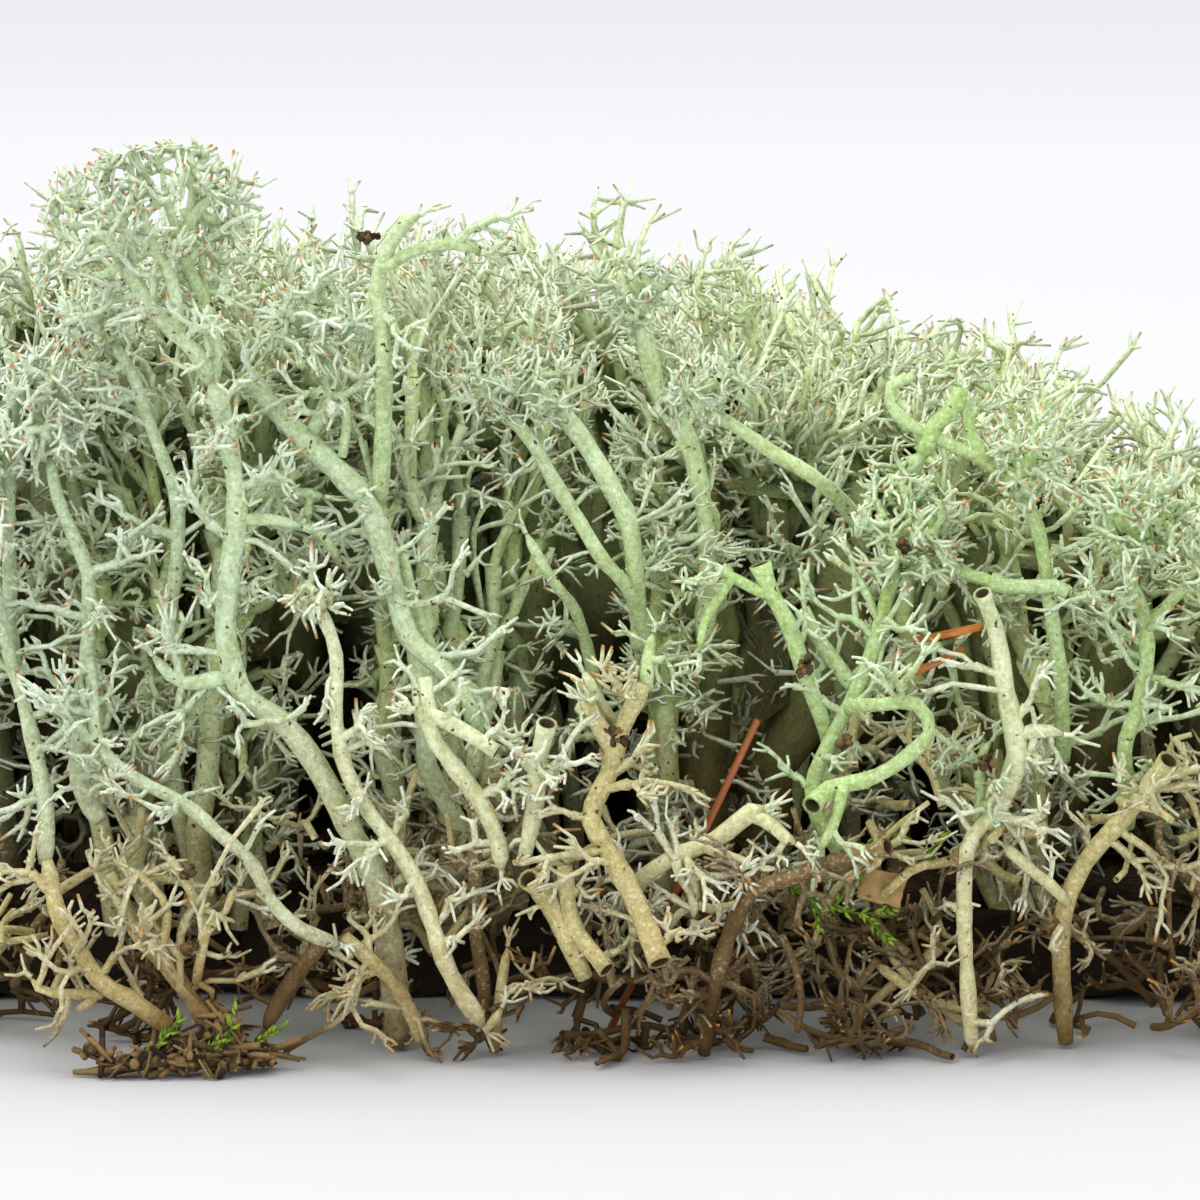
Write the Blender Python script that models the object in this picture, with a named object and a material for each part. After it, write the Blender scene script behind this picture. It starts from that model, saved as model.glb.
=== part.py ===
"""Torn-off clump of reindeer lichen: tufts of hollow forked stalks (podetia) on a flat dead base mat.

Lengths below are in millimetres and become metres when an object is made. The clump stands on z = 0 with its
origin under the middle of the base mat, its long side along X and its open, torn side facing -Y.
"""

import math
import random

import bmesh
import bpy
from mathutils import Vector

MM = 0.001

# Overall size of the clump
CLUMP_LENGTH = 132.0
CLUMP_DEPTH = 98.0
OUTLINE_POWER = 2.4
GAP = 0.35
SEED = 11

# Height of the crown along the clump, from its left end to its right end
CREST = [(-66, 38), (-58, 49), (-48, 54), (-36, 57), (-26, 56), (-12, 55.5), (0, 54.5), (12, 52), (26, 47),
         (40, 41), (52, 34.5), (60, 29), (66, 24)]
CREST_BACK_START = -4.0     # behind this the crown starts to fall away
CREST_BACK_RUN = 56.0
CREST_BACK_DROP = 0.5       # share of the height that is lost at the back edge
CREST_BACK_POWER = 2.2      # how late along that run the fall begins

# The open front, where single stalks stand in front of the tufts
FRONT_FACE_Y = -36.8
FRONT_FACE_HALF_WIDTH = 53.0

# Base mat
MAT_HEIGHT = 6.5
MAT_INSET = 0.9
MAT_FRONT_Y = -29.0
MAT_SEGMENTS = 36
MAT_RINGS = {0: 0.985, 28: 1.0, 72: 0.95, 100: 0.86}    # percent of the height, share of the outline
MAT_ROUGHNESS = 0.07
MAT_FRONT_ROUGHNESS = 2.2
MAT_FRONT_LEAN = 1.0        # how far the top edge stands forward at the open front

# Tufts that make the body and crown: rows from front to back as (name, y, x of each tuft)
TUFT_ROWS = [
    ("front", -21.0, (-51, -30, -10, 10, 30, 50)),
    ("middle", -2.0, (-57, -39, -20, 0, 20, 39, 57)),
    ("back", 16.0, (-49, -30, -10, 10, 30, 49)),
    ("rear", 34.0, (-29, -10, 10, 29)),
]
TUFT_JITTER = 1.6
TUFT_HEADS = 4              # stalks of a tuft, each with its own head around the middle one
SIDES_PER_HEAD = 3          # two sides of a head and the furrow beside it
# Rings of a tuft from its foot up: share of the height, share of the room it has, roughness, furrow
TUFT_RINGS = [(0.0, 0.5, 0.1, 0.5), (0.3, 0.6, 0.12, 0.46), (0.45, 0.84, 0.1, 0.5), (0.6, 1.0, 0.06, 0.62),
              (0.78, 1.0, 0.1, 0.66), (0.95, 0.86, 0.14, 0.7), (0.93, 0.46, 0.2, 0.8)]
FURROW_DROP = 0.09          # how much lower the crown is in a furrow, as a share of the height
HEAD_DROP = 0.07            # most that one head stays lower than the next
TUFT_SKIRT = 0.72           # tufts at the rim carry their crown lower by this factor
SKIRT_START = 0.55          # share of the clump's half size at which that begins
SKIRT_RUN = 0.4
TUFT_FOOT_ROUGHNESS = 0.5
TUFT_LEAST_HEIGHT = 2.5     # lowest that any ring above the foot stands over it
MOST_ROOM = 40.0            # furthest that a tuft could spread
ROOM_STEP = 0.25

STALK_BEVEL = 1             # gives a six-sided stalk
ROUTE_STEP = 4.8            # spacing of the rings along a stalk
SPUR_RADIUS = 0.42
SPUR_TAPER = 0.35
HEAD_HOLLOWS = (0.55, 0.7)  # how far in the dents of a tassel lie
HEAD_TIP_EVERY = 3          # one bump of a tassel in this many stands out
HOLLOW_DEPTH = 2.4
HOLLOW_TAPER = 0.4
HOLLOW_OVERSHOOT = 1.0      # how far the cutter stands out of a broken end


def clear_scene():
    for old in list(bpy.data.objects):
        bpy.data.objects.remove(old, do_unlink=True)


def srgb(hex_colour):
    """Linear RGBA from a six-digit sRGB colour."""
    channels = [int(hex_colour[i:i + 2], 16) / 255 for i in (0, 2, 4)]
    linear = [c / 12.92 if c <= 0.04045 else ((c + 0.055) / 1.055) ** 2.4 for c in channels]
    return (*linear, 1.0)


def make_material(name, hex_colour, roughness):
    material = bpy.data.materials.new(name)
    material.use_nodes = True
    shader = material.node_tree.nodes["Principled BSDF"]
    shader.inputs["Base Color"].default_value = srgb(hex_colour)
    shader.inputs["Roughness"].default_value = roughness
    shader.inputs["Metallic"].default_value = 0.0
    material.diffuse_color = srgb(hex_colour)
    return material


def finish_object(obj, name, material, collection):
    """Name a mesh object, give it its own material and put it in the clump's collection."""
    obj.name = name
    obj.data.name = name
    obj.data.materials.clear()
    obj.data.materials.append(material)
    for other in list(obj.users_collection):
        other.objects.unlink(obj)
    collection.objects.link(obj)
    return obj


def object_from_bmesh(bm, name):
    bmesh.ops.recalc_face_normals(bm, faces=bm.faces)
    mesh = bpy.data.meshes.new(name)
    bm.to_mesh(mesh)
    bm.free()
    obj = bpy.data.objects.new(name, mesh)
    bpy.context.scene.collection.objects.link(obj)
    return obj


def crest_height(x):
    """Height of the crown's crest at x, read from CREST by smooth steps."""
    if x <= CREST[0][0]:
        return CREST[0][1]
    for (x0, z0), (x1, z1) in zip(CREST, CREST[1:]):
        if x <= x1:
            t = (x - x0) / (x1 - x0)
            return z0 + (z1 - z0) * t
    return CREST[-1][1]


def crown_top(x, y):
    """Height of the crown above the floor: level from the front to the middle, falling to the back."""
    back = min(1.0, max(0.0, (y - CREST_BACK_START) / CREST_BACK_RUN))
    fall = 1.0 - math.sqrt(1.0 - back ** CREST_BACK_POWER)
    return crest_height(x) * (1.0 - CREST_BACK_DROP * fall)


def inside_outline(x, y, scale=1.0):
    half_length = CLUMP_LENGTH / 2 * scale
    half_depth = CLUMP_DEPTH / 2 * scale
    return abs(x / half_length) ** OUTLINE_POWER + abs(y / half_depth) ** OUTLINE_POWER < 1.0


def outline_radius(angle, scale=1.0):
    """Distance from the origin to the clump's rounded outline in the direction of angle."""
    c = abs(math.cos(angle)) / (CLUMP_LENGTH / 2 * scale)
    s = abs(math.sin(angle)) / (CLUMP_DEPTH / 2 * scale)
    return (c ** OUTLINE_POWER + s ** OUTLINE_POWER) ** (-1 / OUTLINE_POWER)


def tuft_centres():
    """Name and foot of every tuft, with a little seeded scatter."""
    rng = random.Random(SEED)
    centres = []
    for row, y, places in TUFT_ROWS:
        for number, x in enumerate(places, 1):
            dx = rng.uniform(-TUFT_JITTER, TUFT_JITTER)
            dy = rng.uniform(-TUFT_JITTER, TUFT_JITTER)
            centres.append((f"tuft_{row}_{number}", x + dx, y + dy))
    return centres


def room_towards(centre, angle, others):
    """How far a tuft can spread before it meets a neighbour, the outline or the open front."""
    cx, cy = centre
    ux, uy = math.cos(angle), math.sin(angle)
    room = MOST_ROOM
    for ox, oy in others:
        dx, dy = ox - cx, oy - cy
        apart = math.hypot(dx, dy)
        towards = (ux * dx + uy * dy) / apart
        if towards > 0.01:
            room = min(room, (apart / 2 - GAP / 2) / towards)
    if abs(cx) < FRONT_FACE_HALF_WIDTH and uy < -0.01:
        room = min(room, (cy - FRONT_FACE_Y) / -uy)
    while not inside_outline(cx + ux * room, cy + uy * room):
        room -= ROOM_STEP
    return room


def make_tuft(name, centre, others, seed):
    """One tuft: stalks side by side on the base mat that widen into a ring of heads around a middle one."""
    rng = random.Random(seed)
    sides = TUFT_HEADS * SIDES_PER_HEAD
    rows = len(TUFT_RINGS) + 1
    turn = rng.uniform(0.0, math.tau / sides)
    drops = [HEAD_DROP * rng.random() for _ in range(TUFT_HEADS)]
    bm = bmesh.new()
    bmesh.ops.create_uvsphere(bm, u_segments=sides, v_segments=rows, radius=1.0)
    cx, cy = centre
    outwards = math.hypot(cx / (CLUMP_LENGTH / 2), cy / (CLUMP_DEPTH / 2))
    rim = max(0.0, outwards - SKIRT_START) / SKIRT_RUN
    skirt = 1.0 - (1.0 - TUFT_SKIRT) * min(1.0, rim)
    foot_z = MAT_HEIGHT + GAP
    for vert in sorted(bm.verts, key=lambda v: (round(v.co.z, 4), round(math.atan2(v.co.y, v.co.x), 4))):
        if abs(vert.co.z) > 0.9999:
            vert.co = (cx, cy, crown_top(cx, cy) if vert.co.z > 0 else foot_z)
            continue
        row = round(math.acos(-vert.co.z) / math.pi * rows) - 1
        share, spread, rough, furrow = TUFT_RINGS[row]
        side = round(math.atan2(vert.co.y, vert.co.x) / math.tau * sides) % sides
        angle = math.tau * side / sides + turn
        in_furrow = side % SIDES_PER_HEAD == 0
        reach = room_towards(centre, angle, others) * spread * (1.0 - rough * rng.random())
        if in_furrow:
            reach *= furrow
        if row < 3:
            share *= skirt
        if row > 4:
            share -= FURROW_DROP if in_furrow else drops[side // SIDES_PER_HEAD]
        x, y = cx + math.cos(angle) * reach, cy + math.sin(angle) * reach
        least = TUFT_LEAST_HEIGHT if row else TUFT_FOOT_ROUGHNESS * rng.random()
        vert.co = (x, y, max(crown_top(x, y) * share, foot_z + least))
    bmesh.ops.scale(bm, vec=(MM, MM, MM), verts=bm.verts)
    return object_from_bmesh(bm, name)


def make_base_mat():
    """Flat underside, lumpy side, level top under the tufts; it lies back from the open front."""
    rng = random.Random(SEED + 1)
    bm = bmesh.new()
    bmesh.ops.create_cone(bm, segments=MAT_SEGMENTS, radius1=1.0, radius2=1.0, depth=1.0, cap_ends=True)
    for level in sorted(MAT_RINGS)[1:-1]:
        everything = bm.verts[:] + bm.edges[:] + bm.faces[:]
        bmesh.ops.bisect_plane(bm, geom=everything, plane_co=(0, 0, level / 100 - 0.5), plane_no=(0, 0, 1))
    for vert in sorted(bm.verts, key=lambda v: (round(v.co.z, 3), round(math.atan2(v.co.y, v.co.x), 3))):
        level = round((vert.co.z + 0.5) * 100)
        angle = math.atan2(vert.co.y, vert.co.x)
        reach = outline_radius(angle, MAT_INSET) * MAT_RINGS[level] * (1.0 - MAT_ROUGHNESS * rng.random())
        x, y = reach * math.cos(angle), reach * math.sin(angle)
        if abs(x) < FRONT_FACE_HALF_WIDTH:
            lean = MAT_FRONT_LEAN if level == 100 else 0.0
            y = max(y, MAT_FRONT_Y + MAT_FRONT_ROUGHNESS * rng.random() - lean)
        vert.co = (x, y, level / 100 * MAT_HEIGHT)
    bmesh.ops.scale(bm, vec=(MM, MM, MM), verts=bm.verts)
    return object_from_bmesh(bm, "base_mat")


def smooth_route(points, step=ROUTE_STEP):
    """Points every step along a smooth curve through the hand-chosen points."""
    knots = [Vector(p) for p in points]
    knots = [knots[0] * 2 - knots[1]] + knots + [knots[-1] * 2 - knots[-2]]
    dense = []
    for a, b, c, d in zip(knots, knots[1:], knots[2:], knots[3:]):
        for i in range(12):
            t = i / 12
            dense.append(0.5 * (2 * b + (c - a) * t + (2 * a - 5 * b + 4 * c - d) * t * t
                                + (3 * b - a - 3 * c + d) * t ** 3))
    dense.append(knots[-2])
    length = sum((q - p).length for p, q in zip(dense, dense[1:]))
    count = max(2, round(length / step))
    spaced, done, target = [dense[0]], 0.0, length / count
    for p, q in zip(dense, dense[1:]):
        done += (q - p).length
        if done >= target - 1e-9 and len(spaced) < count:
            spaced.append(q)
            target += length / count
    spaced.append(dense[-1])
    return spaced


def make_stalk(points, radius_start, radius_end, step=ROUTE_STEP):
    """A round tapering stalk along a route, as a closed mesh object."""
    route = smooth_route(points, step)
    curve = bpy.data.curves.new("stalk", "CURVE")
    curve.dimensions = "3D"
    curve.bevel_depth = MM
    curve.bevel_resolution = STALK_BEVEL
    curve.use_fill_caps = True
    spline = curve.splines.new("POLY")
    spline.points.add(len(route) - 1)
    for i, (point, place) in enumerate(zip(spline.points, route)):
        point.co = (*(place * MM), 1.0)
        point.radius = radius_start + (radius_end - radius_start) * i / (len(route) - 1)
    source = bpy.data.objects.new("stalk", curve)
    bpy.context.scene.collection.objects.link(source)
    bpy.context.view_layer.update()
    depsgraph = bpy.context.evaluated_depsgraph_get()
    mesh = bpy.data.meshes.new_from_object(source.evaluated_get(depsgraph))
    bpy.data.objects.remove(source, do_unlink=True)
    bm = bmesh.new()
    bm.from_mesh(mesh)
    bpy.data.meshes.remove(mesh)
    bmesh.ops.remove_doubles(bm, verts=bm.verts, dist=1e-6)
    return object_from_bmesh(bm, "stalk")


def make_spur(base, tip, radius):
    """A short pointed branchlet from base to tip."""
    base, tip = Vector(base), Vector(tip)
    along = tip - base
    bm = bmesh.new()
    bmesh.ops.create_cone(bm, segments=3, radius1=radius, radius2=radius * SPUR_TAPER,
                          depth=along.length, cap_ends=True)
    turn = along.to_track_quat("Z", "Y").to_matrix()
    bmesh.ops.rotate(bm, cent=(0, 0, 0), matrix=turn, verts=bm.verts)
    bmesh.ops.translate(bm, vec=(base + tip) / 2, verts=bm.verts)
    bmesh.ops.scale(bm, vec=(MM, MM, MM), verts=bm.verts)
    return object_from_bmesh(bm, "spur")


def make_head(centre, size, seed):
    """A lumpy tassel of branchlets at the end of an arm, as one knobbly ball."""
    rng = random.Random(seed)
    bm = bmesh.new()
    bmesh.ops.create_icosphere(bm, subdivisions=2, radius=1.0)
    bmesh.ops.dissolve_degenerate(bm, edges=bm.edges, dist=1e-6)
    for number, vert in enumerate(sorted(bm.verts, key=lambda v: (round(v.co.z, 3), round(v.co.x, 3)))):
        bump = 1.0 if number % HEAD_TIP_EVERY == 0 else rng.uniform(*HEAD_HOLLOWS)
        vert.co = Vector(centre) + Vector([c * s * bump for c, s in zip(vert.co, size)])
    bmesh.ops.scale(bm, vec=(MM, MM, MM), verts=bm.verts)
    return object_from_bmesh(bm, "head")


def make_hollow_cutter(end, before, radius):
    """The round hollow that a broken stalk shows in its end."""
    end, before = Vector(end), Vector(before)
    along = (before - end).normalized()
    bm = bmesh.new()
    bmesh.ops.create_cone(bm, segments=6, radius1=radius, radius2=radius * HOLLOW_TAPER,
                          depth=HOLLOW_DEPTH + HOLLOW_OVERSHOOT, cap_ends=True)
    turn = along.to_track_quat("Z", "Y").to_matrix()
    bmesh.ops.rotate(bm, cent=(0, 0, 0), matrix=turn, verts=bm.verts)
    bmesh.ops.translate(bm, vec=end + along * (HOLLOW_DEPTH - HOLLOW_OVERSHOOT) / 2, verts=bm.verts)
    bmesh.ops.scale(bm, vec=(MM, MM, MM), verts=bm.verts)
    return object_from_bmesh(bm, "hollow")


def combine(base, others, operation):
    """Boolean of base with each of the others; the others are used up."""
    for other in others:
        other.display_type = "WIRE"
        other.hide_render = True
        modifier = base.modifiers.new(operation.lower(), "BOOLEAN")
        modifier.operation = operation
        modifier.solver = "EXACT"
        modifier.object = other
    bpy.context.view_layer.update()
    depsgraph = bpy.context.evaluated_depsgraph_get()
    mesh = bpy.data.meshes.new_from_object(base.evaluated_get(depsgraph))
    base.modifiers.clear()
    base.data = mesh
    for other in others:
        bpy.data.objects.remove(other, do_unlink=True)
    return base


# Front podetia. Each is a list of routes of x, y, z with a radius at both ends, then the tassels
# (centre, size) that end it, the side spurs (base, tip) and whether its last end is broken open.
FRONT_STALKS = {
    "tall_stalk": {
        "finish": "stalk_sage",
        "routes": [
            ([(-13.6, -40.4, 0.4), (-14, -41, 6), (-14.8, -42.4, 11.6), (-16.7, -43.5, 15.8),
              (-18.9, -44, 20.2), (-21.1, -44.6, 23.2), (-23.7, -45, 25.2),
              (-24.8, -44.4, 28.7), (-24.6, -44, 32.7), (-24, -44, 37), (-24.4, -44, 40.8),
              (-25.1, -44, 44.2), (-25.8, -44, 46.2)], 0.95, 0.66),
            ([(-24.6, -44.6, 26.2), (-27.8, -44.6, 25.9), (-29.8, -44.8, 27.9)], 0.6, 0.35),
            ([(-24.2, -44, 36.6), (-21.4, -43.8, 36.6), (-19.4, -43.6, 36)], 0.5, 0.3),
        ],
        "spurs": [((-27.5, -44.7, 26), (-28.6, -45.4, 30.2)), ((-25.5, -44.6, 26), (-28.7, -46, 22.3)),
                  ((-24, -44, 39), (-20.6, -44.6, 39.6))],
    },
    "tall_left_arm": {
        "finish": "crown_sage",
        "routes": [
            ([(-26.3, -44.5, 46.9), (-28.7, -45, 49.4), (-30.1, -45.4, 51.6),
              (-31.6, -45.8, 53.6)], 0.6, 0.45),
            ([(-27.3, -44.8, 48.2), (-28.2, -45, 52), (-29.4, -45, 54.6), (-30, -45, 56.5)], 0.5, 0.4),
        ],
        "heads": [((-33.4, -46, 54.6), (4.4, 3.2, 3.8)), ((-30.4, -45.6, 57.9), (3.6, 3.2, 3.9))],
        "spurs": [((-29.4, -45, 51), (-26.4, -46, 53.6)), ((-30.4, -45.4, 52.2), (-34.4, -45.6, 50.4))],
    },
    "tall_right_arm": {
        "finish": "crown_sage",
        "routes": [([(-25.4, -43.1, 46.9), (-26, -42.6, 49.6), (-26, -42, 52.2),
                     (-25.4, -41.6, 54.4)], 0.5, 0.4)],
        "heads": [((-25.2, -41.4, 55), (3.6, 3.4, 4.4))],
    },
    "central_stalk": {
        "finish": "stalk_sage",
        "routes": [
            ([(-15, -42, 36.4), (-14.4, -42, 34.2), (-13.5, -42, 30.8), (-12.6, -42.5, 28.4),
              (-10.5, -43, 26.6), (-8.6, -42.8, 24), (-8.3, -42.2, 21), (-8.5, -41.8, 18.5)], 0.85, 0.6),
        ],
        "spurs": [((-14.4, -42, 33.5), (-10.5, -43.2, 35.4)), ((-13.5, -42, 31), (-9.6, -43.4, 31.6)),
                  ((-11, -43, 27), (-7.4, -44.2, 28.6)), ((-9.5, -43, 25.6), (-6, -43.6, 23.4))],
    },
    "hook_arm": {
        "finish": "stalk_green",
        "routes": [
            ([(-14.7, -42.6, 38.8), (-14.3, -43, 43.2), (-14.3, -43, 46.7), (-14.4, -43, 49.2),
              (-14.7, -43, 52.1),
              (-14, -43, 54.6), (-12.9, -43, 56.2), (-11.6, -43, 56.9)], 0.62, 0.5),
            ([(-14.5, -42.9, 53.1), (-12.1, -42.3, 54.4), (-9.7, -42, 54.8), (-7.6, -42, 54.2)], 0.45, 0.35),
        ],
        "spurs": [((-14.4, -43, 51), (-12.6, -43.6, 48.2)), ((-10, -42.1, 54.6), (-6.6, -42.4, 56.4))],
    },
    "diagonal_arm": {
        "finish": "stalk_sage",
        "routes": [
            ([(-23.4, -40, 46), (-22.2, -40, 44.2), (-19.9, -40.5, 41.8), (-17.6, -41, 39.7),
              (-16, -41.6, 38.1), (-15.3, -41.9, 37.4)], 0.6, 0.85),
            ([(-19.5, -40.5, 41.5), (-18, -40.9, 44.8), (-18.3, -41.3, 47.5)], 0.5, 0.4),
        ],
        "heads": [((-18.7, -41, 50), (3.8, 2.9, 3.6))],
        "spurs": [((-22.4, -40.2, 44.5), (-21, -40.9, 47.2))],
    },
    "left_stalk": {
        "finish": "stalk_blue",
        "routes": [
            ([(-33.4, -43.6, 16.3), (-34.8, -42.6, 18.6), (-34.9, -42, 21.4), (-34.4, -42, 25),
              (-34.1, -42, 30.7), (-34.3, -42, 33.4), (-36, -42, 37.6),
              (-36.7, -42, 41)], 0.6, 0.42),
        ],
        "heads": [((-37.2, -42, 43.6), (3.6, 3.2, 4.2))],
        "spurs": [((-34.2, -42, 29), (-37.2, -42.6, 31.4)), ((-34.5, -42, 24.4), (-38, -42.4, 25.2)),
                  ((-34.2, -42, 32.4), (-31, -42.6, 34.4))],
    },
    "second_left_stalk": {
        "finish": "stalk_blue",
        "routes": [
            ([(-28.3, -43.3, 27.2), (-28.8, -41.4, 29.4), (-28.3, -40.6, 33.6), (-28.3, -40.6, 37.7),
              (-29.6, -40.6, 41.6),
              (-30.4, -40.6, 43.6), (-31.2, -40.6, 46.2), (-32.6, -40.8, 48.4)], 0.5, 0.4),
        ],
        "heads": [((-33.2, -40.6, 49.6), (3, 2.4, 2.1))],
        "spurs": [((-29.8, -40.6, 42), (-32.4, -40.6, 43.6)), ((-28.4, -40.6, 35), (-31, -41, 36.4))],
    },
    "left_edge_stalk": {
        "finish": "stalk_blue",
        "routes": [
            ([(-36.8, -46.4, 13.9), (-36.9, -45, 17.8), (-38.2, -43.4, 23.4), (-39.4, -43.4, 27.8),
              (-40.4, -43.2, 32.6), (-41, -43, 36.4), (-42, -42.6, 39)], 0.6, 0.4),
        ],
        "heads": [((-42.4, -42.4, 39.4), (3.8, 3.4, 4.2))],
        "spurs": [((-39, -43.4, 26.4), (-42, -43.4, 28.6)), ((-37, -44.6, 18.8), (-40.2, -44.4, 17.2))],
    },
    "leaning_stalk": {
        "finish": "stalk_blue",
        "routes": [
            ([(-34, -43.4, 27.4), (-33.6, -45.4, 25), (-33.3, -46.2, 22.4), (-31.6, -46.4, 20.2),
              (-27.4, -47, 18),
              (-25.3, -47.5, 16.3), (-23.1, -48, 14.4), (-21.6, -48, 11.6), (-19.8, -47.6, 9.8),
              (-18, -46.6, 9)], 0.42, 0.5),
        ],
        "spurs": [((-33.3, -46.2, 22.6), (-36.6, -46.6, 24.4)), ((-30, -46.6, 19), (-31.6, -47, 16.2)),
                  ((-24, -47.8, 15.2), (-21.4, -48.2, 17.2))],
    },
    "outer_straw_stalk": {
        "finish": "stalk_straw",
        "routes": [
            ([(-36.7, -46.7, 13.1), (-36, -47.4, 11), (-35, -48, 9.2), (-33, -48.5, 6.4), (-31, -48.6, 5.1),
              (-28.8, -48.6, 3.9)], 0.55, 0.65),
        ],
        "spurs": [((-34, -48.3, 7.6), (-37.4, -48.6, 6.6)), ((-36.4, -47.2, 12.4), (-39.4, -47.2, 14.4))],
    },
    "inner_straw_stalk": {
        "finish": "stalk_straw",
        "routes": [
            ([(-32.7, -44.6, 13), (-31.6, -45, 10.7), (-30.5, -45.3, 8.6), (-28.2, -45.8, 6.1),
              (-25.8, -47.2, 3.5)],
             0.5, 0.6),
        ],
        "heads": [((-32.2, -44.5, 14), (3.2, 1.8, 1.9))],
        "spurs": [((-29, -45.4, 6.6), (-26.4, -45.6, 9.8)), ((-26.4, -45.6, 9.6), (-24.8, -46, 13.2))],
    },
    "brown_stalk": {
        "finish": "stalk_brown",
        "routes": [
            ([(-18.3, -44.6, 8), (-19.6, -44.4, 7), (-21, -44.8, 5.1), (-22.1, -46.4, 2.8)], 0.55, 0.6),
        ],
        "spurs": [((-20, -44.3, 6.6), (-22.6, -44.4, 8))],
    },
    "litter_foot": {
        "finish": "litter",
        "routes": [([(-33, -49, 1.05), (-29, -49.1, 1.4), (-25, -48.6, 1.4), (-21.6, -47, 1.1)], 0.95, 1.0)],
        "spurs": [((-31, -49, 1.4), (-34.6, -48.6, 2.8)), ((-24, -48.4, 1.4), (-25.6, -47.4, 3.4)),
                  ((-27, -49, 1.4), (-29.4, -48.6, 3.2))],
    },
    "pale_stalk": {
        "finish": "stalk_pale",
        "routes": [
            ([(-18.5, -45.2, 31), (-17.5, -45.4, 27.8), (-17.5, -45.5, 23.8), (-17, -45.5, 20.6),
              (-15.6, -45.4, 17.6), (-13.6, -45.2, 14.8), (-12, -45.4, 12), (-10.4, -46, 7.4),
              (-8.9, -46, 4.6),
              (-7.6, -46, 2.6)], 0.45, 0.62),
        ],
        "heads": [((-18.7, -45.6, 32), (2.1, 1.9, 2))],
        "spurs": [((-17.4, -45.4, 27), (-20.4, -46, 25)), ((-17.4, -45.5, 22), (-14.6, -46.4, 22.8)),
                  ((-10.8, -45.8, 8.8), (-8.2, -46.4, 10.4))],
    },
    "centre_tube": {
        "finish": "stalk_pale",
        "routes": [
            ([(-11.7, -44.5, 26.2), (-11.2, -45, 22.6), (-9.8, -45, 20.4), (-8, -45, 17.9), (-6.8, -45, 15.1),
              (-6.5, -45, 12.9)], 0.62, 0.58),
            ([(-11.6, -45, 24), (-9, -46, 22.8), (-6.6, -46.6, 20.8)], 0.55, 0.5),
        ],
        "spurs": [((-8.4, -45, 18.4), (-5.6, -45.8, 19.4)), ((-11.6, -45, 23.2), (-13.8, -46.4, 24.8))],
    },
    "left_foot_stalk": {
        "finish": "stalk_straw",
        "routes": [
            ([(-17, -45.5, 8.8), (-15.4, -44.8, 7.2), (-13.9, -44, 5.5), (-12.4, -43.4, 2.7),
              (-11.6, -43, 0.4)], 0.5, 0.55),
        ],
        "spurs": [((-14.8, -44.4, 6.6), (-17.8, -44.6, 5.2)), ((-17.4, -44.5, 5.3), (-18.8, -44.8, 3)),
                  ((-12.8, -43.6, 3.4), (-10, -43.8, 1.6))],
    },
    "right_foot_stalk": {
        "finish": "stalk_brown",
        "routes": [
            ([(-8.5, -41.8, 18), (-8.4, -41.8, 14.6), (-8.4, -41.8, 10.5), (-8.3, -41.8, 7.9),
              (-7.8, -41.8, 4.6),
              (-7.4, -41.8, 0.4)], 0.48, 0.5),
        ],
        "spurs": [((-8.4, -41.8, 13), (-5.8, -42.2, 15.4)), ((-8, -41.8, 6), (-9.9, -45, 6.4))],
    },
    "upright_tube": {
        "finish": "stalk_pale",
        "routes": [([(-5, -45.6, 14.4), (-4.3, -45, 17.6), (-4.2, -45, 20.1), (-3.5, -45, 23.2)], 0.6, 0.66)],
        "open_end": 0.4,
        "spurs": [((-4.3, -45, 18.6), (-1.8, -45.6, 20.6)), ((-4.7, -45, 16.4), (-6.2, -46.2, 13.6))],
    },
    "long_broken_tube": {
        "finish": "stalk_straw",
        "routes": [
            ([(2.9, -44, 25.6), (1.6, -44.5, 23), (0.6, -45, 19.8), (-0.4, -45.5, 17.9), (-0.5, -46, 16.6),
              (1.1, -46.5, 13.8), (2.6, -47, 11), (4, -47, 7.4)], 0.62, 0.75),
            ([(0.9, -44.8, 21), (-0.6, -44.6, 24), (-1.2, -44.6, 25.6)], 0.6, 0.5),
        ],
        "open_end": 0.48,
        "spurs": [((-0.4, -45.6, 17.4), (-3.3, -45.6, 18.4)), ((0.8, -45, 20.2), (3.6, -45.6, 21.4))],
    },
    "forked_piece": {
        "finish": "stalk_straw",
        "routes": [
            ([(-4.8, -46.4, 12.9), (-3.4, -46, 11.2), (-2.2, -45.6, 8.8), (-1, -45.4, 6)], 0.7, 0.62),
            ([(-2.3, -45.8, 13.7), (-2.1, -45.7, 11.2), (-1.5, -45.6, 9.2), (0.5, -45.1, 6.5)], 0.6, 0.55),
        ],
        "spurs": [((-2.6, -45.8, 12), (-0.1, -46.2, 14))],
    },
    "long_green_stalk": {
        "finish": "stalk_green",
        "routes": [
            ([(20.2, -28.6, 7.5), (19.8, -33, 8.4), (17.4, -38, 11.6), (14.6, -40.6, 16), (14.3, -41, 18.5),
              (15.4, -41, 21.3), (17.4, -41, 25.3), (18.5, -40.8, 28.2), (19.2, -40.8, 31.1),
              (20, -40.8, 33.6)], 0.58, 0.48),
        ],
        "heads": [((20.7, -41.4, 35.6), (3.8, 3, 4))],
        "spurs": [((16.6, -41, 23.8), (18.8, -42.2, 26)), ((19, -40.8, 30.4), (16.4, -41, 33)),
                  ((14.8, -41, 20), (11.8, -41.2, 20.6))],
    },
    "curved_green_branch": {
        "finish": "stalk_green",
        "routes": [
            ([(16.6, -42.5, 23.6), (16.8, -44.4, 24.2), (18.4, -45.7, 24.5), (20.8, -46, 24.7),
              (21.7, -46, 22.8), (19.9, -46, 20.7),
              (17.6, -46, 19.5), (15.2, -46, 19), (13.9, -45.8, 17)], 0.4, 0.6),
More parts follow.
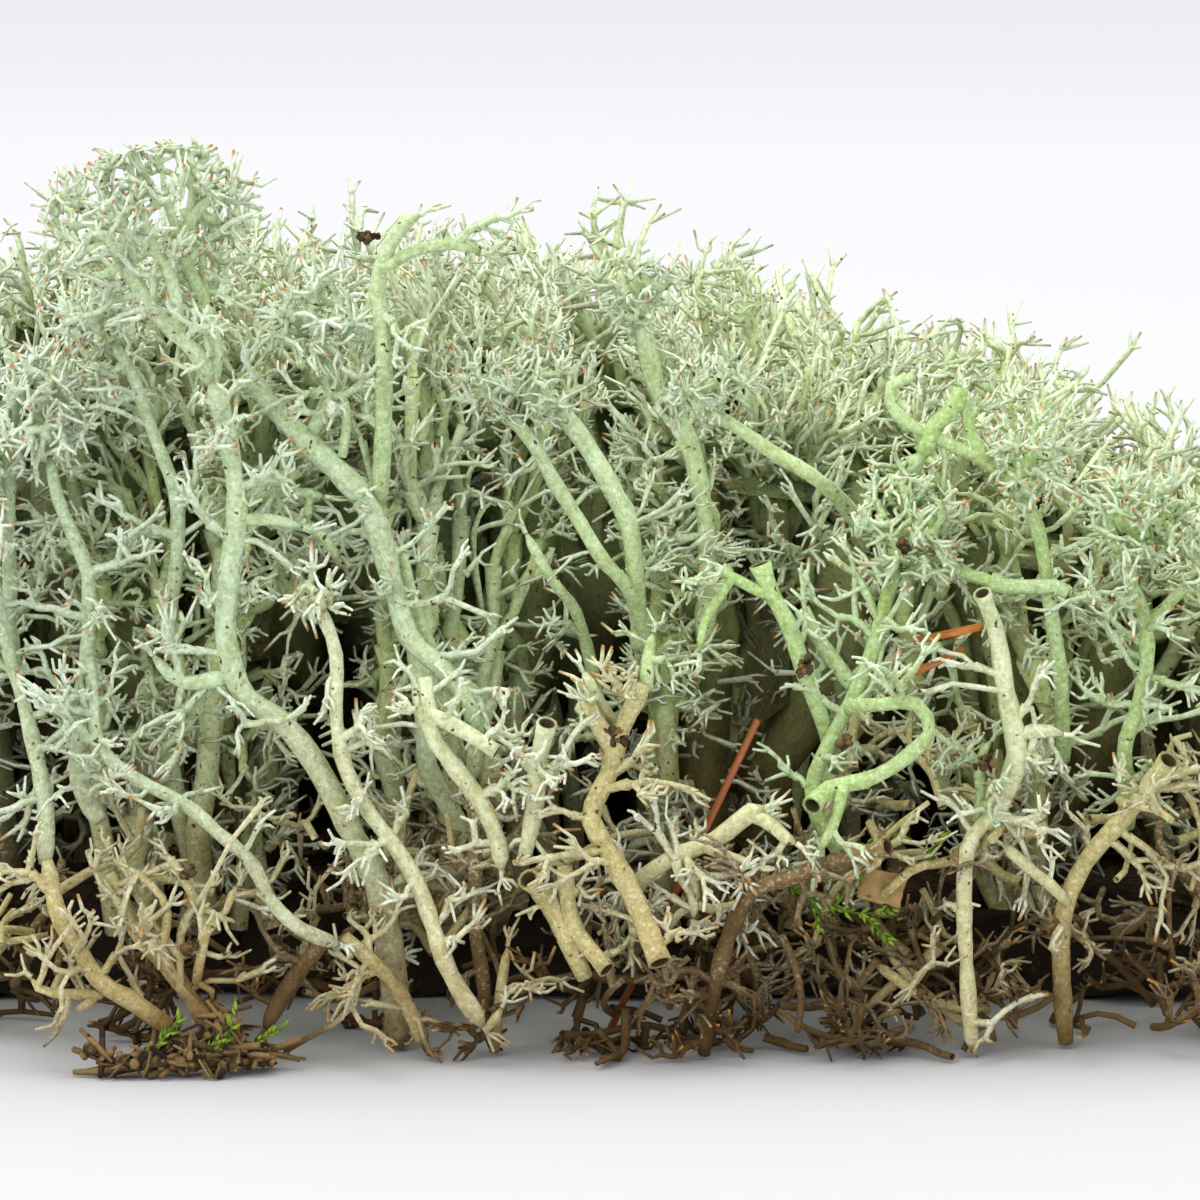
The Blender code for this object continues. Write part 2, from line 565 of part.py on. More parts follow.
            ([(16.2, -46, 19.3), (15.5, -46.4, 16.6), (14.4, -46.6, 14.6)], 0.45, 0.3),
        ],
        "spurs": [((15.6, -46.4, 17), (16.8, -47, 14.2)), ((19.4, -45.8, 24.6), (18.2, -46.4, 26.4))],
    },
    "lying_brown_stalk": {
        "finish": "stalk_brown",
        "routes": [
            ([(7, -43.2, 0.4), (7.6, -44.6, 5), (8.6, -45.6, 9), (10.2, -45.9, 12), (12.7, -45.9, 12.9),
              (15.3, -45.9, 13.9), (19.1, -46, 15)],
             0.5, 0.6),
        ],
        "open_end": 0.38,
        "spurs": [((10.4, -45.9, 12.2), (8.4, -46.6, 14.4)), ((13, -45.9, 13), (13.6, -46.2, 10.4))],
    },
    "twig_cluster": {
        "finish": "stalk_pale",
        "routes": [
            ([(1, -28, 7.3), (1.2, -33, 8), (2, -39.4, 10), (2.8, -42, 12.1), (5.1, -42.6, 14.2),
              (7.7, -43, 15.7), (10.1, -43.4, 17.3)], 0.5, 0.42),
            ([(5.4, -42.6, 14.4), (6.4, -43.4, 11.8), (6.2, -44, 9.4)], 0.42, 0.3),
            ([(8.4, -43, 16.2), (10.6, -43.8, 15.8), (12.2, -44.2, 15.2)], 0.4, 0.25),
        ],
        "spurs": [((4.4, -42.5, 13.6), (3.2, -43.6, 16.6)), ((7.4, -43, 15.6), (6.4, -44, 18.4)),
                  ((6.3, -43.6, 11), (8.8, -43.8, 9.6)), ((3.4, -42.3, 12.8), (0.8, -42.8, 11.4))],
    },
    "open_tube": {
        "finish": "stalk_green",
        "routes": [
            ([(14.8, -41.4, 23.1), (13.7, -41.5, 25.8), (12.6, -41.6, 29.2), (11.5, -41.6, 31.3),
              (10.7, -41.6, 33.4)], 0.5, 0.62),
            ([(11.6, -41.6, 31), (9.4, -41.8, 32.2), (7.6, -42, 33.2)], 0.42, 0.3),
            ([(8.8, -41.8, 32.4), (7, -42.2, 29.6), (6.6, -42.6, 27.2)], 0.35, 0.25),
        ],
        "open_end": 0.4,
        "spurs": [((12.8, -41.6, 28.4), (15, -41.6, 30.2))],
    },
    "curled_stalk": {
        "finish": "crown_green",
        "routes": [
            ([(30.9, -42.2, 22.9), (30.9, -40.6, 26), (30.3, -39.8, 29.4), (29.9, -39.6, 32.4),
              (29.3, -39.6, 35.4), (28.3, -39.6, 37.3), (26.7, -39.6, 39.4),
              (23.9, -39.6, 40.9), (21.7, -39.6, 41.9), (19.8, -39.6, 43.2), (19.4, -39.6, 44.9),
              (20.6, -39.6, 46)], 0.55, 0.4),
        ],
        "heads": [((28.6, -40, 40), (3.3, 2.9, 3.3))],
        "spurs": [((24.6, -39.6, 40.7), (24.2, -39.8, 44.4)), ((22, -39.6, 41.8), (24, -40.2, 38.8)),
                  ((29.7, -39.6, 34), (32.4, -40.2, 34.8))],
    },
    "open_stalk": {
        "finish": "stalk_pale",
        "routes": [
            ([(25.8, -43, 15.8), (27.2, -43, 18.4), (27.8, -43, 20.8), (27.5, -43, 23), (26.9, -43, 25.6),
              (26.4, -43, 28.8), (25.4, -43, 31.6)], 0.72, 0.6),
            ([(27.6, -43, 22), (29.4, -43.2, 22.4), (31.2, -43.2, 22.1)], 0.55, 0.4),
            ([(26.4, -43, 16.8), (24.6, -43.8, 14.8), (24.3, -44, 11), (24.6, -43.6, 6),
              (25, -43, 0.4)], 0.55, 0.5),
        ],
        "open_end": 0.42,
        "spurs": [((26.9, -43, 26), (23.8, -43.4, 27.2)), ((27.6, -43, 23), (30.2, -43.4, 25.6)),
                  ((26.6, -43, 17), (29.8, -43.6, 15.2)), ((29.6, -43.5, 15.3), (31.2, -43.8, 12.4))],
    },
    "far_right_stalk": {
        "finish": "stalk_green",
        "routes": [
            ([(35.4, -39.8, 18.4), (35.4, -39.2, 20.8), (36.2, -39, 23.4), (36.8, -39, 26.6),
              (36.5, -39, 29.9), (35.6, -39, 32),
              (35.9, -39, 33.8)], 0.6, 0.48),
            ([(36.6, -39, 28.6), (38.8, -39.2, 31), (40.6, -39.4, 32.4)], 0.42, 0.35),
        ],
        "heads": [((36, -40, 36.2), (4, 3, 3.8)), ((42, -40, 33.6), (3.4, 3, 3.6))],
        "spurs": [((36.6, -39, 25.4), (33.8, -39.4, 27.2)), ((36.6, -39, 25.8), (39.4, -39.4, 25))],
    },
    "far_right_broken_stalk": {
        "finish": "stalk_straw",
        "routes": [([(31.6, -39.8, 0.4), (31.2, -40.4, 4.6), (31.2, -41, 9.4), (32.6, -41, 13),
                     (34.9, -41, 15.7), (36.5, -41, 17.8), (38.2, -41, 20)],
                    0.6, 0.66)],
        "open_end": 0.42,
        "spurs": [((34, -41, 14.8), (37.2, -41.6, 13.4)), ((33, -41, 13.6), (30.4, -41.6, 15.6)),
                  ((37, -41.5, 13.5), (39.4, -41.8, 11.4))],
    },
}

# Loose finds caught in the clump: the two ends of each and its half thickness
PINE_NEEDLES = {
    "pine_needle_1": ((21.2, -40.2, 27.8), (25.5, -41.8, 29), 0.42),
    "pine_needle_2": ((20, -39.6, 25), (24.4, -41, 27.3), 0.42),
    "pine_needle_3": ((10.8, -39.2, 22.4), (0.8, -38.4, 0.8), 0.42),
}
NEEDLE_FLATTENING = 0.7
LEAF_SCRAP = {"centre": (18.9, -43.1, 11.8), "size": (3.0, 0.35, 2.0), "tilt": 0.25, "cup": 0.5,
              "taper": 0.35, "widest": -0.15}
MOSS_SPRIG = [(12.6, -44.8, 12), (14, -43.8, 11.2), (15.6, -43.4, 10.4), (17.6, -43.4, 10), (19.6, -43, 10.2)]
MOSS_RADII = (0.45, 0.3)
MOSS_STEP = 2.0

FINISHES = {
    "tuft_crown": ("b3c39b", 0.9),
    "stalk_sage": ("b9c79f", 0.85),
    "stalk_green": ("a9c98a", 0.8),
    "stalk_blue": ("b2c4ad", 0.85),
    "stalk_pale": ("cbd2b0", 0.85),
    "stalk_straw": ("c9bf94", 0.88),
    "stalk_brown": ("8f7850", 0.9),
    "crown_sage": ("c2d0b2", 0.9),
    "crown_green": ("b4cf8c", 0.88),
    "litter": ("6b5230", 0.95),
    "base": ("5e4a2c", 0.95),
    "needle": ("b8651f", 0.5),
    "leaf": ("b08a62", 0.8),
    "moss": ("7d9a1e", 0.8),
}


def make_front_stalk(name, spec, seed):
    """A podetium of the open front: its stalks, tassels and spurs joined into one closed body."""
    stalks = [make_stalk(*route) for route in spec["routes"]]
    stalks += [make_head(centre, size, seed + i) for i, (centre, size) in enumerate(spec.get("heads", []))]
    stalks += [make_spur(base, tip, SPUR_RADIUS) for base, tip in spec.get("spurs", [])]
    body = stalks[0]
    if len(stalks) > 1:
        body = combine(body, stalks[1:], "UNION")
    if "open_end" in spec:
        points = spec["routes"][0][0]
        body = combine(body, [make_hollow_cutter(points[-1], points[-2], spec["open_end"])], "DIFFERENCE")
    return body


def make_needle(ends):
    """A pine needle piece: half round, with square ends."""
    start, end, half = Vector(ends[0]), Vector(ends[1]), ends[2]
    along = end - start
    bm = bmesh.new()
    bmesh.ops.create_cone(bm, segments=8, radius1=half, radius2=half, depth=along.length, cap_ends=True)
    bmesh.ops.scale(bm, vec=(1.0, NEEDLE_FLATTENING, 1.0), verts=bm.verts)
    bmesh.ops.rotate(bm, cent=(0, 0, 0), matrix=along.to_track_quat("Z", "Y").to_matrix(), verts=bm.verts)
    bmesh.ops.translate(bm, vec=(start + end) / 2, verts=bm.verts)
    bmesh.ops.scale(bm, vec=(MM, MM, MM), verts=bm.verts)
    return object_from_bmesh(bm, "needle")


def make_leaf_scrap():
    """A torn, slightly cupped scrap of dead leaf."""
    bm = bmesh.new()
    bmesh.ops.create_cube(bm, size=1.0)
    bmesh.ops.subdivide_edges(bm, edges=[e for e in bm.edges if abs((e.verts[0].co - e.verts[1].co).x) > 0.5],
                              cuts=2, use_grid_fill=True)
    size = Vector(LEAF_SCRAP["size"])
    for vert in bm.verts:
        taper = 1.0 - LEAF_SCRAP["taper"] * abs(vert.co.x - LEAF_SCRAP["widest"])
        cup = LEAF_SCRAP["cup"] * vert.co.x ** 2
        vert.co = Vector((vert.co.x * size.x, vert.co.y * size.y + cup, vert.co.z * size.z * taper))
    for vert in bm.verts:
        z = vert.co.z + LEAF_SCRAP["tilt"] * vert.co.x
        vert.co = Vector((vert.co.x, vert.co.y, z)) + Vector(LEAF_SCRAP["centre"])
    bmesh.ops.scale(bm, vec=(MM, MM, MM), verts=bm.verts)
    return object_from_bmesh(bm, "leaf_scrap")


def main():
    clear_scene()
    clump = bpy.data.collections.new("reindeer_lichen_clump")
    bpy.context.scene.collection.children.link(clump)

    def finish(obj, name, kind):
        colour, roughness = FINISHES[kind]
        material = make_material(name, colour, roughness)
        return finish_object(obj, name, material, clump)

    finish(make_base_mat(), "base_mat", "base")

    centres = tuft_centres()
    for number, (name, cx, cy) in enumerate(centres):
        others = [(x, y) for other, x, y in centres if other != name]
        finish(make_tuft(name, (cx, cy), others, SEED + 20 + number), name, "tuft_crown")

    for number, (name, spec) in enumerate(FRONT_STALKS.items()):
        finish(make_front_stalk(name, spec, SEED + 100 + 10 * number), name, spec["finish"])

    for name, ends in PINE_NEEDLES.items():
        finish(make_needle(ends), name, "needle")
    finish(make_leaf_scrap(), "leaf_scrap", "leaf")
    finish(make_stalk(MOSS_SPRIG, *MOSS_RADII, MOSS_STEP), "moss_sprig", "moss")


main()
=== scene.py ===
import math

import bmesh
import bpy
import numpy as np
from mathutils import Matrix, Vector, noise
from mathutils.bvhtree import BVHTree


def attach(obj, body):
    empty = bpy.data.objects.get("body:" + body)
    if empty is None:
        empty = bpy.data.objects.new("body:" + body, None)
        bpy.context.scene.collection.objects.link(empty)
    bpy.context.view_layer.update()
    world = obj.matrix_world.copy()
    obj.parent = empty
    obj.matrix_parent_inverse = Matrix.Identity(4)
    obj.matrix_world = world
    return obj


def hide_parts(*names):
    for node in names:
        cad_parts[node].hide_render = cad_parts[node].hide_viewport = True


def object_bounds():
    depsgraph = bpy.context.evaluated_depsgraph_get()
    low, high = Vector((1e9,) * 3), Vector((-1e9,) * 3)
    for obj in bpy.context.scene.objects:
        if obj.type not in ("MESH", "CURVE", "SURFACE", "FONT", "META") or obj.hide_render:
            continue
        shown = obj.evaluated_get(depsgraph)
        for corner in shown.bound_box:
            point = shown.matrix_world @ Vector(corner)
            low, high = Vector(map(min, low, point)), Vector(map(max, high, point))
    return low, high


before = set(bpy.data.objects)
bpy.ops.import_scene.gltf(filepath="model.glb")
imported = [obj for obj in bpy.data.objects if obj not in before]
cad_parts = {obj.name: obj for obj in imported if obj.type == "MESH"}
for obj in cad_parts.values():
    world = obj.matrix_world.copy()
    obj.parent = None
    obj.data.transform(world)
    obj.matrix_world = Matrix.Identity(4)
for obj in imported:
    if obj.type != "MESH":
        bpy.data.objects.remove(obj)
cadLow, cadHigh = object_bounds()
mm = 0.001  # lengths below are in millimetres until a piece is made
box = np.array([[v / mm for v in cadLow], [v / mm for v in cadHigh]])
inner = box + [[0, -0.8, 0.7], [0, 0, 0]]  # the tips of stalks stay in this box

# the camera of the picture, and places read off it
view = {
    "target": (0.0, -42.0, 31.0),
    "distance": 400.0,
    "elevation": 8.0,
    "width": 80.0,          # width of the picture at the target
    "picture": 1200,        # pixels along one side of the picture
}


def placeInPicture(u, v, y):  # point of the clump seen at pixel u, v, at the depth y
    tilt = math.radians(view["elevation"])
    scale = view["picture"] / view["width"]
    far = y - view["target"][1]
    z = view["target"][2]
    for _ in range(6):
        reach = 1 + (far * math.cos(tilt) - (z - view["target"][2]) * math.sin(tilt)) / view["distance"]
        up = (view["picture"] / 2 - v) / scale * reach
        z = view["target"][2] + (up - far * math.sin(tilt)) / math.cos(tilt)
    return np.array([(u - view["picture"] / 2) / scale * reach, y, z])


def routeInPicture(points):  # a depth given at one point holds until the next one given
    placed, depth = [], view["target"][1]
    for point in points:
        depth = point[2] if len(point) > 2 else depth
        placed.append(placeInPicture(point[0], point[1], depth))
    return np.array(placed)


# tubes bent along routes are the stuff of every lichen stalk; each template is one straight tube
templates = {}
markNames = ("tint", "tipBrown", "hollow", "young", "deep")  # what the skin reads at each vertex


def tubeTemplate(sides, rings, end):
    key = (sides, rings, end)
    if key in templates:
        return templates[key]
    last = rings - 1
    bm = bmesh.new()
    bmesh.ops.create_cone(bm, segments=sides, radius1=1, radius2=1, depth=last, cap_ends=True)
    bmesh.ops.translate(bm, vec=(0, 0, last / 2), verts=bm.verts)
    for level in range(1, last):
        everything = bm.verts[:] + bm.edges[:] + bm.faces[:]
        bmesh.ops.bisect_plane(bm, geom=everything, plane_co=(0, 0, level), plane_no=(0, 0, 1))
    cap = [f for f in bm.faces if all(v.co.z > last - 0.01 for v in f.verts)]
    if end == "point":
        top = [v for v in bm.verts if v.co.z > last - 0.01]
        bmesh.ops.pointmerge(bm, verts=top, merge_co=(0, 0, last))
    if end == "hollow":  # a broken end: rim, then the wall of the hollow and its floor
        for scale, down in ((0.68, 0.04), (0.9, 0.9)):
            cap = bmesh.ops.extrude_face_region(bm, geom=cap)["geom"]
            cap = [g for g in cap if isinstance(g, bmesh.types.BMFace)]
            rim = list({v for f in cap for v in f.verts})
            bmesh.ops.scale(bm, vec=(scale, scale, 1), verts=rim)
            bmesh.ops.translate(bm, vec=(0, 0, -down), verts=rim)
        gone = [f for f in bm.faces if len(f.verts) == sides and all(abs(v.co.z - last) < 0.01 for v in f.verts)]
        gone += [f for f in bm.faces if len(f.verts) == sides > 4 and f not in cap
                 and all(abs(v.co.z - last + 0.04) < 0.01 for v in f.verts)]
        bmesh.ops.delete(bm, geom=gone, context="FACES_ONLY")
    foot = [f for f in bm.faces if all(v.co.z < 0.01 for v in f.verts)]
    if end != "closed" and sides < 10:  # the stalks placed by the picture keep their foot
        bmesh.ops.delete(bm, geom=foot, context="FACES_ONLY")
    bm.verts.index_update()
    co = np.array([v.co[:] for v in bm.verts])
    radial = np.hypot(co[:, 0], co[:, 1])
    turn = np.arctan2(co[:, 1], co[:, 0]) / math.tau % 1
    step = np.where(radial > 0.99, co[:, 2], last + 1.2 - radial) if end == "hollow" else co[:, 2]
    loops, starts, around, along = [], [], [], []
    for face in bm.faces:
        corners = [v.index for v in face.verts]
        starts.append(len(loops))
        loops += corners
        sure = [turn[i] for i in corners if radial[i] > 0.01]
        wraps = max(sure) - min(sure) > 0.5
        placed = [turn[i] + (wraps and turn[i] < 0.5) for i in corners if radial[i] > 0.01]
        middle = sum(placed) / len(placed)
        around += [turn[i] + (wraps and turn[i] < 0.5) if radial[i] > 0.01 else middle for i in corners]
        along += [step[i] for i in corners]
    bm.free()
    templates[key] = {
        "level": np.clip(co[:, 2], 0, last), "radial": radial, "cos": np.cos(turn * math.tau),
        "sin": np.sin(turn * math.tau), "hollow": (radial < 0.99) * (end == "hollow") * 1.0,
        "loops": np.array(loops), "starts": np.array(starts), "last": last,
        "around": np.clip(np.array(around), 0, 1.2), "along": np.array(along) / max(along),
    }
    return templates[key]


def normalised(vectors):
    return vectors / np.maximum(np.linalg.norm(vectors, axis=-1, keepdims=True), 1e-9)


def addTubes(bundle, paths, radii, sides, end="point", tint=0.5, tip=0.0, young=0.0, deep=0.0):
    # paths is (tubes, rings, 3), radii and tip are one number a ring, tint, young and deep one a tube
    paths = np.asarray(paths, float)
    count, rings = paths.shape[:2]
    ringed = [np.broadcast_to(np.asarray(v, float), (count, rings)) for v in (radii, tip)]
    single = [np.broadcast_to(np.asarray(v, float), (count,)) for v in (tint, young, deep)]
    bundle.setdefault((sides, rings, end), []).append((paths, *ringed, *single))


def bentTubes(key, groups):  # every tube of one template: vertices and their marks
    template = tubeTemplate(*key)
    paths, radii, tip, tint, young, deep = (np.concatenate([g[i] for g in groups]) for i in range(6))
    along = normalised(np.gradient(paths, axis=1))
    lead = np.where(np.abs(along[:, :1, 2:]) < 0.9, [[[0, 0, 1.0]]], [[[1.0, 0, 0]]])
    side = normalised(np.cross(along[:, 0], lead[:, 0]))
    sides = [side]
    for ring in range(1, paths.shape[1]):
        side = normalised(side - (side * along[:, ring]).sum(-1, keepdims=True) * along[:, ring])
        sides.append(side)
    sides = np.stack(sides, 1)
    ups = np.cross(along, sides)
    low = np.minimum(template["level"].astype(int), template["last"] - 1)
    part = template["level"] - low

    def atLevel(values):
        share = part[:, None] if values.ndim == 3 else part
        return values[:, low] * (1 - share) + values[:, low + 1] * share

    reach = (atLevel(radii) * template["radial"])[..., None]
    places = atLevel(paths) + reach * (atLevel(sides) * template["cos"][:, None] + atLevel(ups) * template["sin"][:, None])
    places[..., 2] = np.maximum(places[..., 2], 0.02)  # nothing reaches below the floor
    size = len(template["level"])
    marks = {"tint": np.repeat(tint, size), "tipBrown": atLevel(tip).ravel(), "young": np.repeat(young, size),
             "hollow": np.tile(template["hollow"], len(paths)), "deep": np.repeat(deep, size)}
    return template, places, marks


made = {}  # triangles of each finished piece
pressed = 0.6  # what reaches out of the clump's box is pressed back by this share


def makePiece(name, bundle, material, nodes=(), lumps=()):
    # one joined mesh from all the tubes and lumps of a piece; each tube has its own strip of the bake map,
    # and each triangle of a lump its own corner of it
    places, loops, starts, cells = [], [], [], []
    marks = {which: [] for which in markNames}
    vertexCount = loopCount = 0
    for key in sorted(bundle):
        template, co, mark = bentTubes(key, bundle[key])
        count, size = co.shape[:2]
        offsets = np.arange(count)[:, None]
        loops.append((template["loops"] + offsets * size + vertexCount).ravel())
        starts.append((template["starts"] + offsets * len(template["loops"]) + loopCount).ravel())
        cells.append((template["around"], template["along"], count, max(3.0, key[0] * 0.8), 3.0 * template["last"] + 1))
        places.append(co.reshape(-1, 3))
        for which in markNames:
            marks[which].append(mark[which])
        vertexCount += count * size
        loopCount += count * len(template["loops"])
    for co, triangles, values in lumps:
        count = len(triangles)
        loops.append(triangles.ravel() + vertexCount)
        starts.append(np.arange(count) * 3 + loopCount)
        cells.append((np.array([0, 1, 0]), np.array([0, 0, 1]), count, 4.0, 4.0))
        places.append(co)
        for which in markNames:
            marks[which].append(np.broadcast_to(values.get(which, 0.0), (len(co),)))
        vertexCount += len(co)
        loopCount += count * 3
    places, loops, starts = np.concatenate(places), np.concatenate(loops), np.concatenate(starts)
    places -= pressed * (np.maximum(places - box[1], 0) + np.minimum(places - box[0], 0))
    mesh = bpy.data.meshes.new(name)
    mesh.vertices.add(len(places))
    mesh.vertices.foreach_set("co", (places * mm).astype(np.float32).ravel())
    mesh.loops.add(len(loops))
    mesh.loops.foreach_set("vertex_index", loops.astype(np.int32))
    mesh.polygons.add(len(starts))
    mesh.polygons.foreach_set("loop_start", starts.astype(np.int32))
    mesh.polygons.foreach_set("use_smooth", np.ones(len(starts), bool))
    mesh.update(calc_edges=True)
    for which in markNames:
        mark = mesh.attributes.new(which, "FLOAT", "POINT")
        mark.data.foreach_set("value", np.concatenate(marks[which]).astype(np.float32))
    width = math.sqrt(sum(count * w * h for _, _, count, w, h in cells)) * 1.04 + 4
    strips, top = [], 0.0
    for around, along, count, w, h in cells:
        columns = max(1, int(width // w))
        column, row = np.arange(count) % columns, np.arange(count) // columns
        u = column[:, None] * w + 0.3 + around * (w - 0.6)
        v = top + row[:, None] * h + 0.4 + along * (h - 0.8)
        strips.append(np.stack([u, v], -1).reshape(-1, 2))
        top += (count // columns + 1) * h
    strips = np.concatenate(strips) / max(width + 2, top)
    mesh.uv_layers.new(name="OFBake").data.foreach_set("uv", strips.astype(np.float32).ravel())
    piece = bpy.data.objects.new(name, mesh)
    bpy.context.scene.collection.objects.link(piece)
    finishPiece(piece, material, nodes)


def finishPiece(piece, material, nodes=()):
    piece.data.materials.clear()
    piece.data.materials.append(material)
    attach(piece, "root")
    if nodes:
        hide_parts(*nodes)
    piece.data.calc_loop_triangles()
    made[piece.name] = len(piece.data.loop_triangles)


def curvesBetween(starts, startWays, ends, endWays, rings, bend=0.42):
    # smooth curves from starts to ends that leave and arrive along the given ways
    span = np.linalg.norm(ends - starts, axis=1)[:, None] * bend * 3
    t = np.linspace(0, 1, rings)[None, :, None]
    a, b = starts[:, None], ends[:, None]
    u, w = (startWays * span)[:, None], (endWays * span)[:, None]
    return (2 * t**3 - 3 * t**2 + 1) * a + (t**3 - 2 * t**2 + t) * u + (3 * t**2 - 2 * t**3) * b + (t**3 - t**2) * w


def smoothRoute(points, step):  # points every step along a smooth curve through the route's own
    knots = np.vstack([2 * points[0] - points[1], points, 2 * points[-1] - points[-2]])
    t = np.linspace(0, 1, 12, endpoint=False)[:, None]
    dense = []
    for a, b, c, d in zip(knots, knots[1:], knots[2:], knots[3:]):
        dense.append(0.5 * (2 * b + (c - a) * t + (2 * a - 5 * b + 4 * c - d) * t * t + (3 * b - a - 3 * c + d) * t**3))
    dense = np.vstack(dense + [points[-1:]])
    lengths = np.concatenate([[0], np.cumsum(np.linalg.norm(np.diff(dense, axis=0), axis=1))])
    even = np.linspace(0, lengths[-1], max(3, round(lengths[-1] / step) + 1))
    return np.stack([np.interp(even, lengths, dense[:, i]) for i in range(3)], 1)


# how reindeer lichen branches
growth = {
    "tipStalk": 0.2,         # radius of the last stalk before the prongs
    "thickening": 0.36,      # a stalk's radius grows with the number of tips it carries to this power
    "forkShare": 0.58,       # share of the way to its tips at which a stalk forks
    "shortest": 1.2,
    "longest": 12.0,
    "longestBare": 20.0,     # for a main stalk below its first fork
    "mostBehind": 6.5,       # a fork lies at most this far behind its tips
    "threeWay": 0.34,        # share of forks that part in three
    "flare": 1.3,            # widening of a stalk at a fork
    "curl": 0.34,            # how far branchlets set off and arrive aside from the straight way
    "prong": (0.5, 1.05),    # length of a prong, shortest and longest
    "prongWidth": 0.132,
    "prongSpread": (0.3, 0.95),
    "prongBend": 0.55,
    "brownTips": 0.32,       # share of prongs with a brown tip
}
# sides and rings of stalks that carry many tips, some and one, and of prongs
details = {
    "near": {"many": (8, 6), "some": (6, 5), "one": (4, 4), "prong": (4, 3), "prongs": 2.9, "sideProngs": 0.5},
    "front": {"many": (7, 6), "some": (5, 4), "one": (3, 3), "prong": (3, 3), "prongs": 2.7, "sideProngs": 0.2},
    "side": {"many": (5, 5), "some": (4, 3), "one": (3, 3), "prong": (3, 2), "prongs": 2.35, "sideProngs": 0.0},
}


def splitTips(tips, ways):  # groups of tips that lie together, one a branch
    spots = tips[:, :3]
    seeds = [spots[np.argmax(((spots - spots.mean(0)) ** 2).sum(1))]]
    for _ in range(ways - 1):
        gap = np.min([((spots - s) ** 2).sum(1) for s in seeds], axis=0)
        seeds.append(spots[np.argmax(gap)])
    for _ in range(3):
        near = np.argmin([((spots - s) ** 2).sum(1) for s in seeds], axis=0)
        groups = [tips[near == i] for i in range(ways)]
        seeds = [g[:, :3].mean(0) for g in groups if len(g)]
        ways = len(seeds)
    return [g for g in groups if len(g)]


def branchOut(start, way, tips, rng, forks, ends, behindEach, bare=None):
    # a tip is its place and the way that it faces; forks stay behind their tips, deeper the more they carry
    stack = [(np.asarray(start, float), np.asarray(way, float), np.asarray(tips, float), bare)]
    while stack:
        at, way, group, bare = stack.pop()
        if len(group) == 1:
            ends.append((at, way, group[0, :3], group[0, 3:]))
            continue
        middle = group.mean(0)
        behind = min(behindEach * (1 + math.log2(len(group))), growth["mostBehind"])
        toMiddle = middle[:3] - middle[3:] * behind - at
        far = max(np.linalg.norm(toMiddle), 1e-6)
        reach = min(max(far * growth["forkShare"], growth["shortest"]), bare or growth["longest"], far * 0.85 + 0.2)
        fork = at + (toMiddle / far * 0.75 + way * 0.25) * reach + rng.normal(0, 0.09 * reach, 3)
        onward = normalised(0.5 * (fork - at) / reach + 0.5 * toMiddle / far)
        forks.append((at, way, fork, onward, len(group)))
        ways = 3 if len(group) > 4 and rng.random() < growth["threeWay"] else 2
        for part in splitTips(group, ways):
            towards = normalised(part[:, :3].mean(0) - fork)
            aside = rng.normal(0, growth["curl"], 3)
            stack.append((fork, normalised(0.45 * onward + 0.6 * towards + aside), part, None))


def stalkRadius(carried):
    return growth["tipStalk"] * np.asarray(carried, float) ** growth["thickening"]


def addGrowth(bundle, forks, ends, detail, rng, tint=0.5, scale=1.0, depthOf=None):
    shape = details[detail]
    if forks:
        at, way, fork, onward = (np.array([f[i] for f in forks]) for i in range(4))
        carried = np.array([f[4] for f in forks])
        deep = depthOf((at + fork) / 2) if depthOf else np.zeros(len(at))
        for picked, which in ((carried >= 12, "many"), ((carried >= 4) & (carried < 12), "some"), (carried < 4, "one")):
            if not picked.any():
                continue
            sides, rings = shape[which]
            paths = curvesBetween(at[picked], way[picked], fork[picked], onward[picked], rings)
            span = np.linalg.norm(fork[picked] - at[picked], axis=1)
            wobble = rng.normal(0, 0.03, (picked.sum(), rings, 3)) * span[:, None, None]
            wobble[:, [0, -1]] = 0
            thick = stalkRadius(carried[picked])[:, None] * scale
            profile = np.linspace(1.05, 0.92, rings)[None] * rng.normal(1, 0.05, (picked.sum(), rings))
            profile[:, -1] = growth["flare"]
            addTubes(bundle, paths + wobble, thick * profile, sides, "flat",
                     tint + rng.normal(0, 0.12, picked.sum()), 0.0, np.clip(0.5 - carried[picked] / 16, 0, 1), deep[picked])
    at, way, tip, facing = (np.array([e[i] for e in ends]) for i in range(4))
    tip = np.clip(tip, inner[0], inner[1])
    deep = depthOf(tip) if depthOf else np.zeros(len(at))
    sides, rings = shape["one"]
    straight = normalised(tip - at)
    arrive = normalised(straight + 0.6 * facing + rng.normal(0, 1.5 * growth["curl"], straight.shape))
    paths = curvesBetween(at, way, tip, arrive, rings)
    thick = growth["tipStalk"] * scale * rng.uniform(0.85, 1.15, len(at))
    profile = np.linspace(1.1, 0.9, rings)
    profile[-1] = growth["flare"]
    tints = tint + rng.normal(0, 0.12, len(at))
    addTubes(bundle, paths, thick[:, None] * profile, sides, "flat", tints, 0.0, 0.7, deep)
    addProngs(bundle, tip, arrive, thick, tints, deep, rng, shape["prong"], shape["prongs"], scale)
    chosen = rng.random(len(at)) < shape["sideProngs"]
    if chosen.any():
        middle = paths[chosen][:, rings // 2]
        across = normalised(np.cross(straight[chosen], rng.normal(0, 1, (chosen.sum(), 3))))
        addProngs(bundle, middle, normalised(across + 0.5 * straight[chosen]), thick[chosen] * 0.8,
                  tints[chosen], deep[chosen], rng, shape["prong"], 1.5, scale)


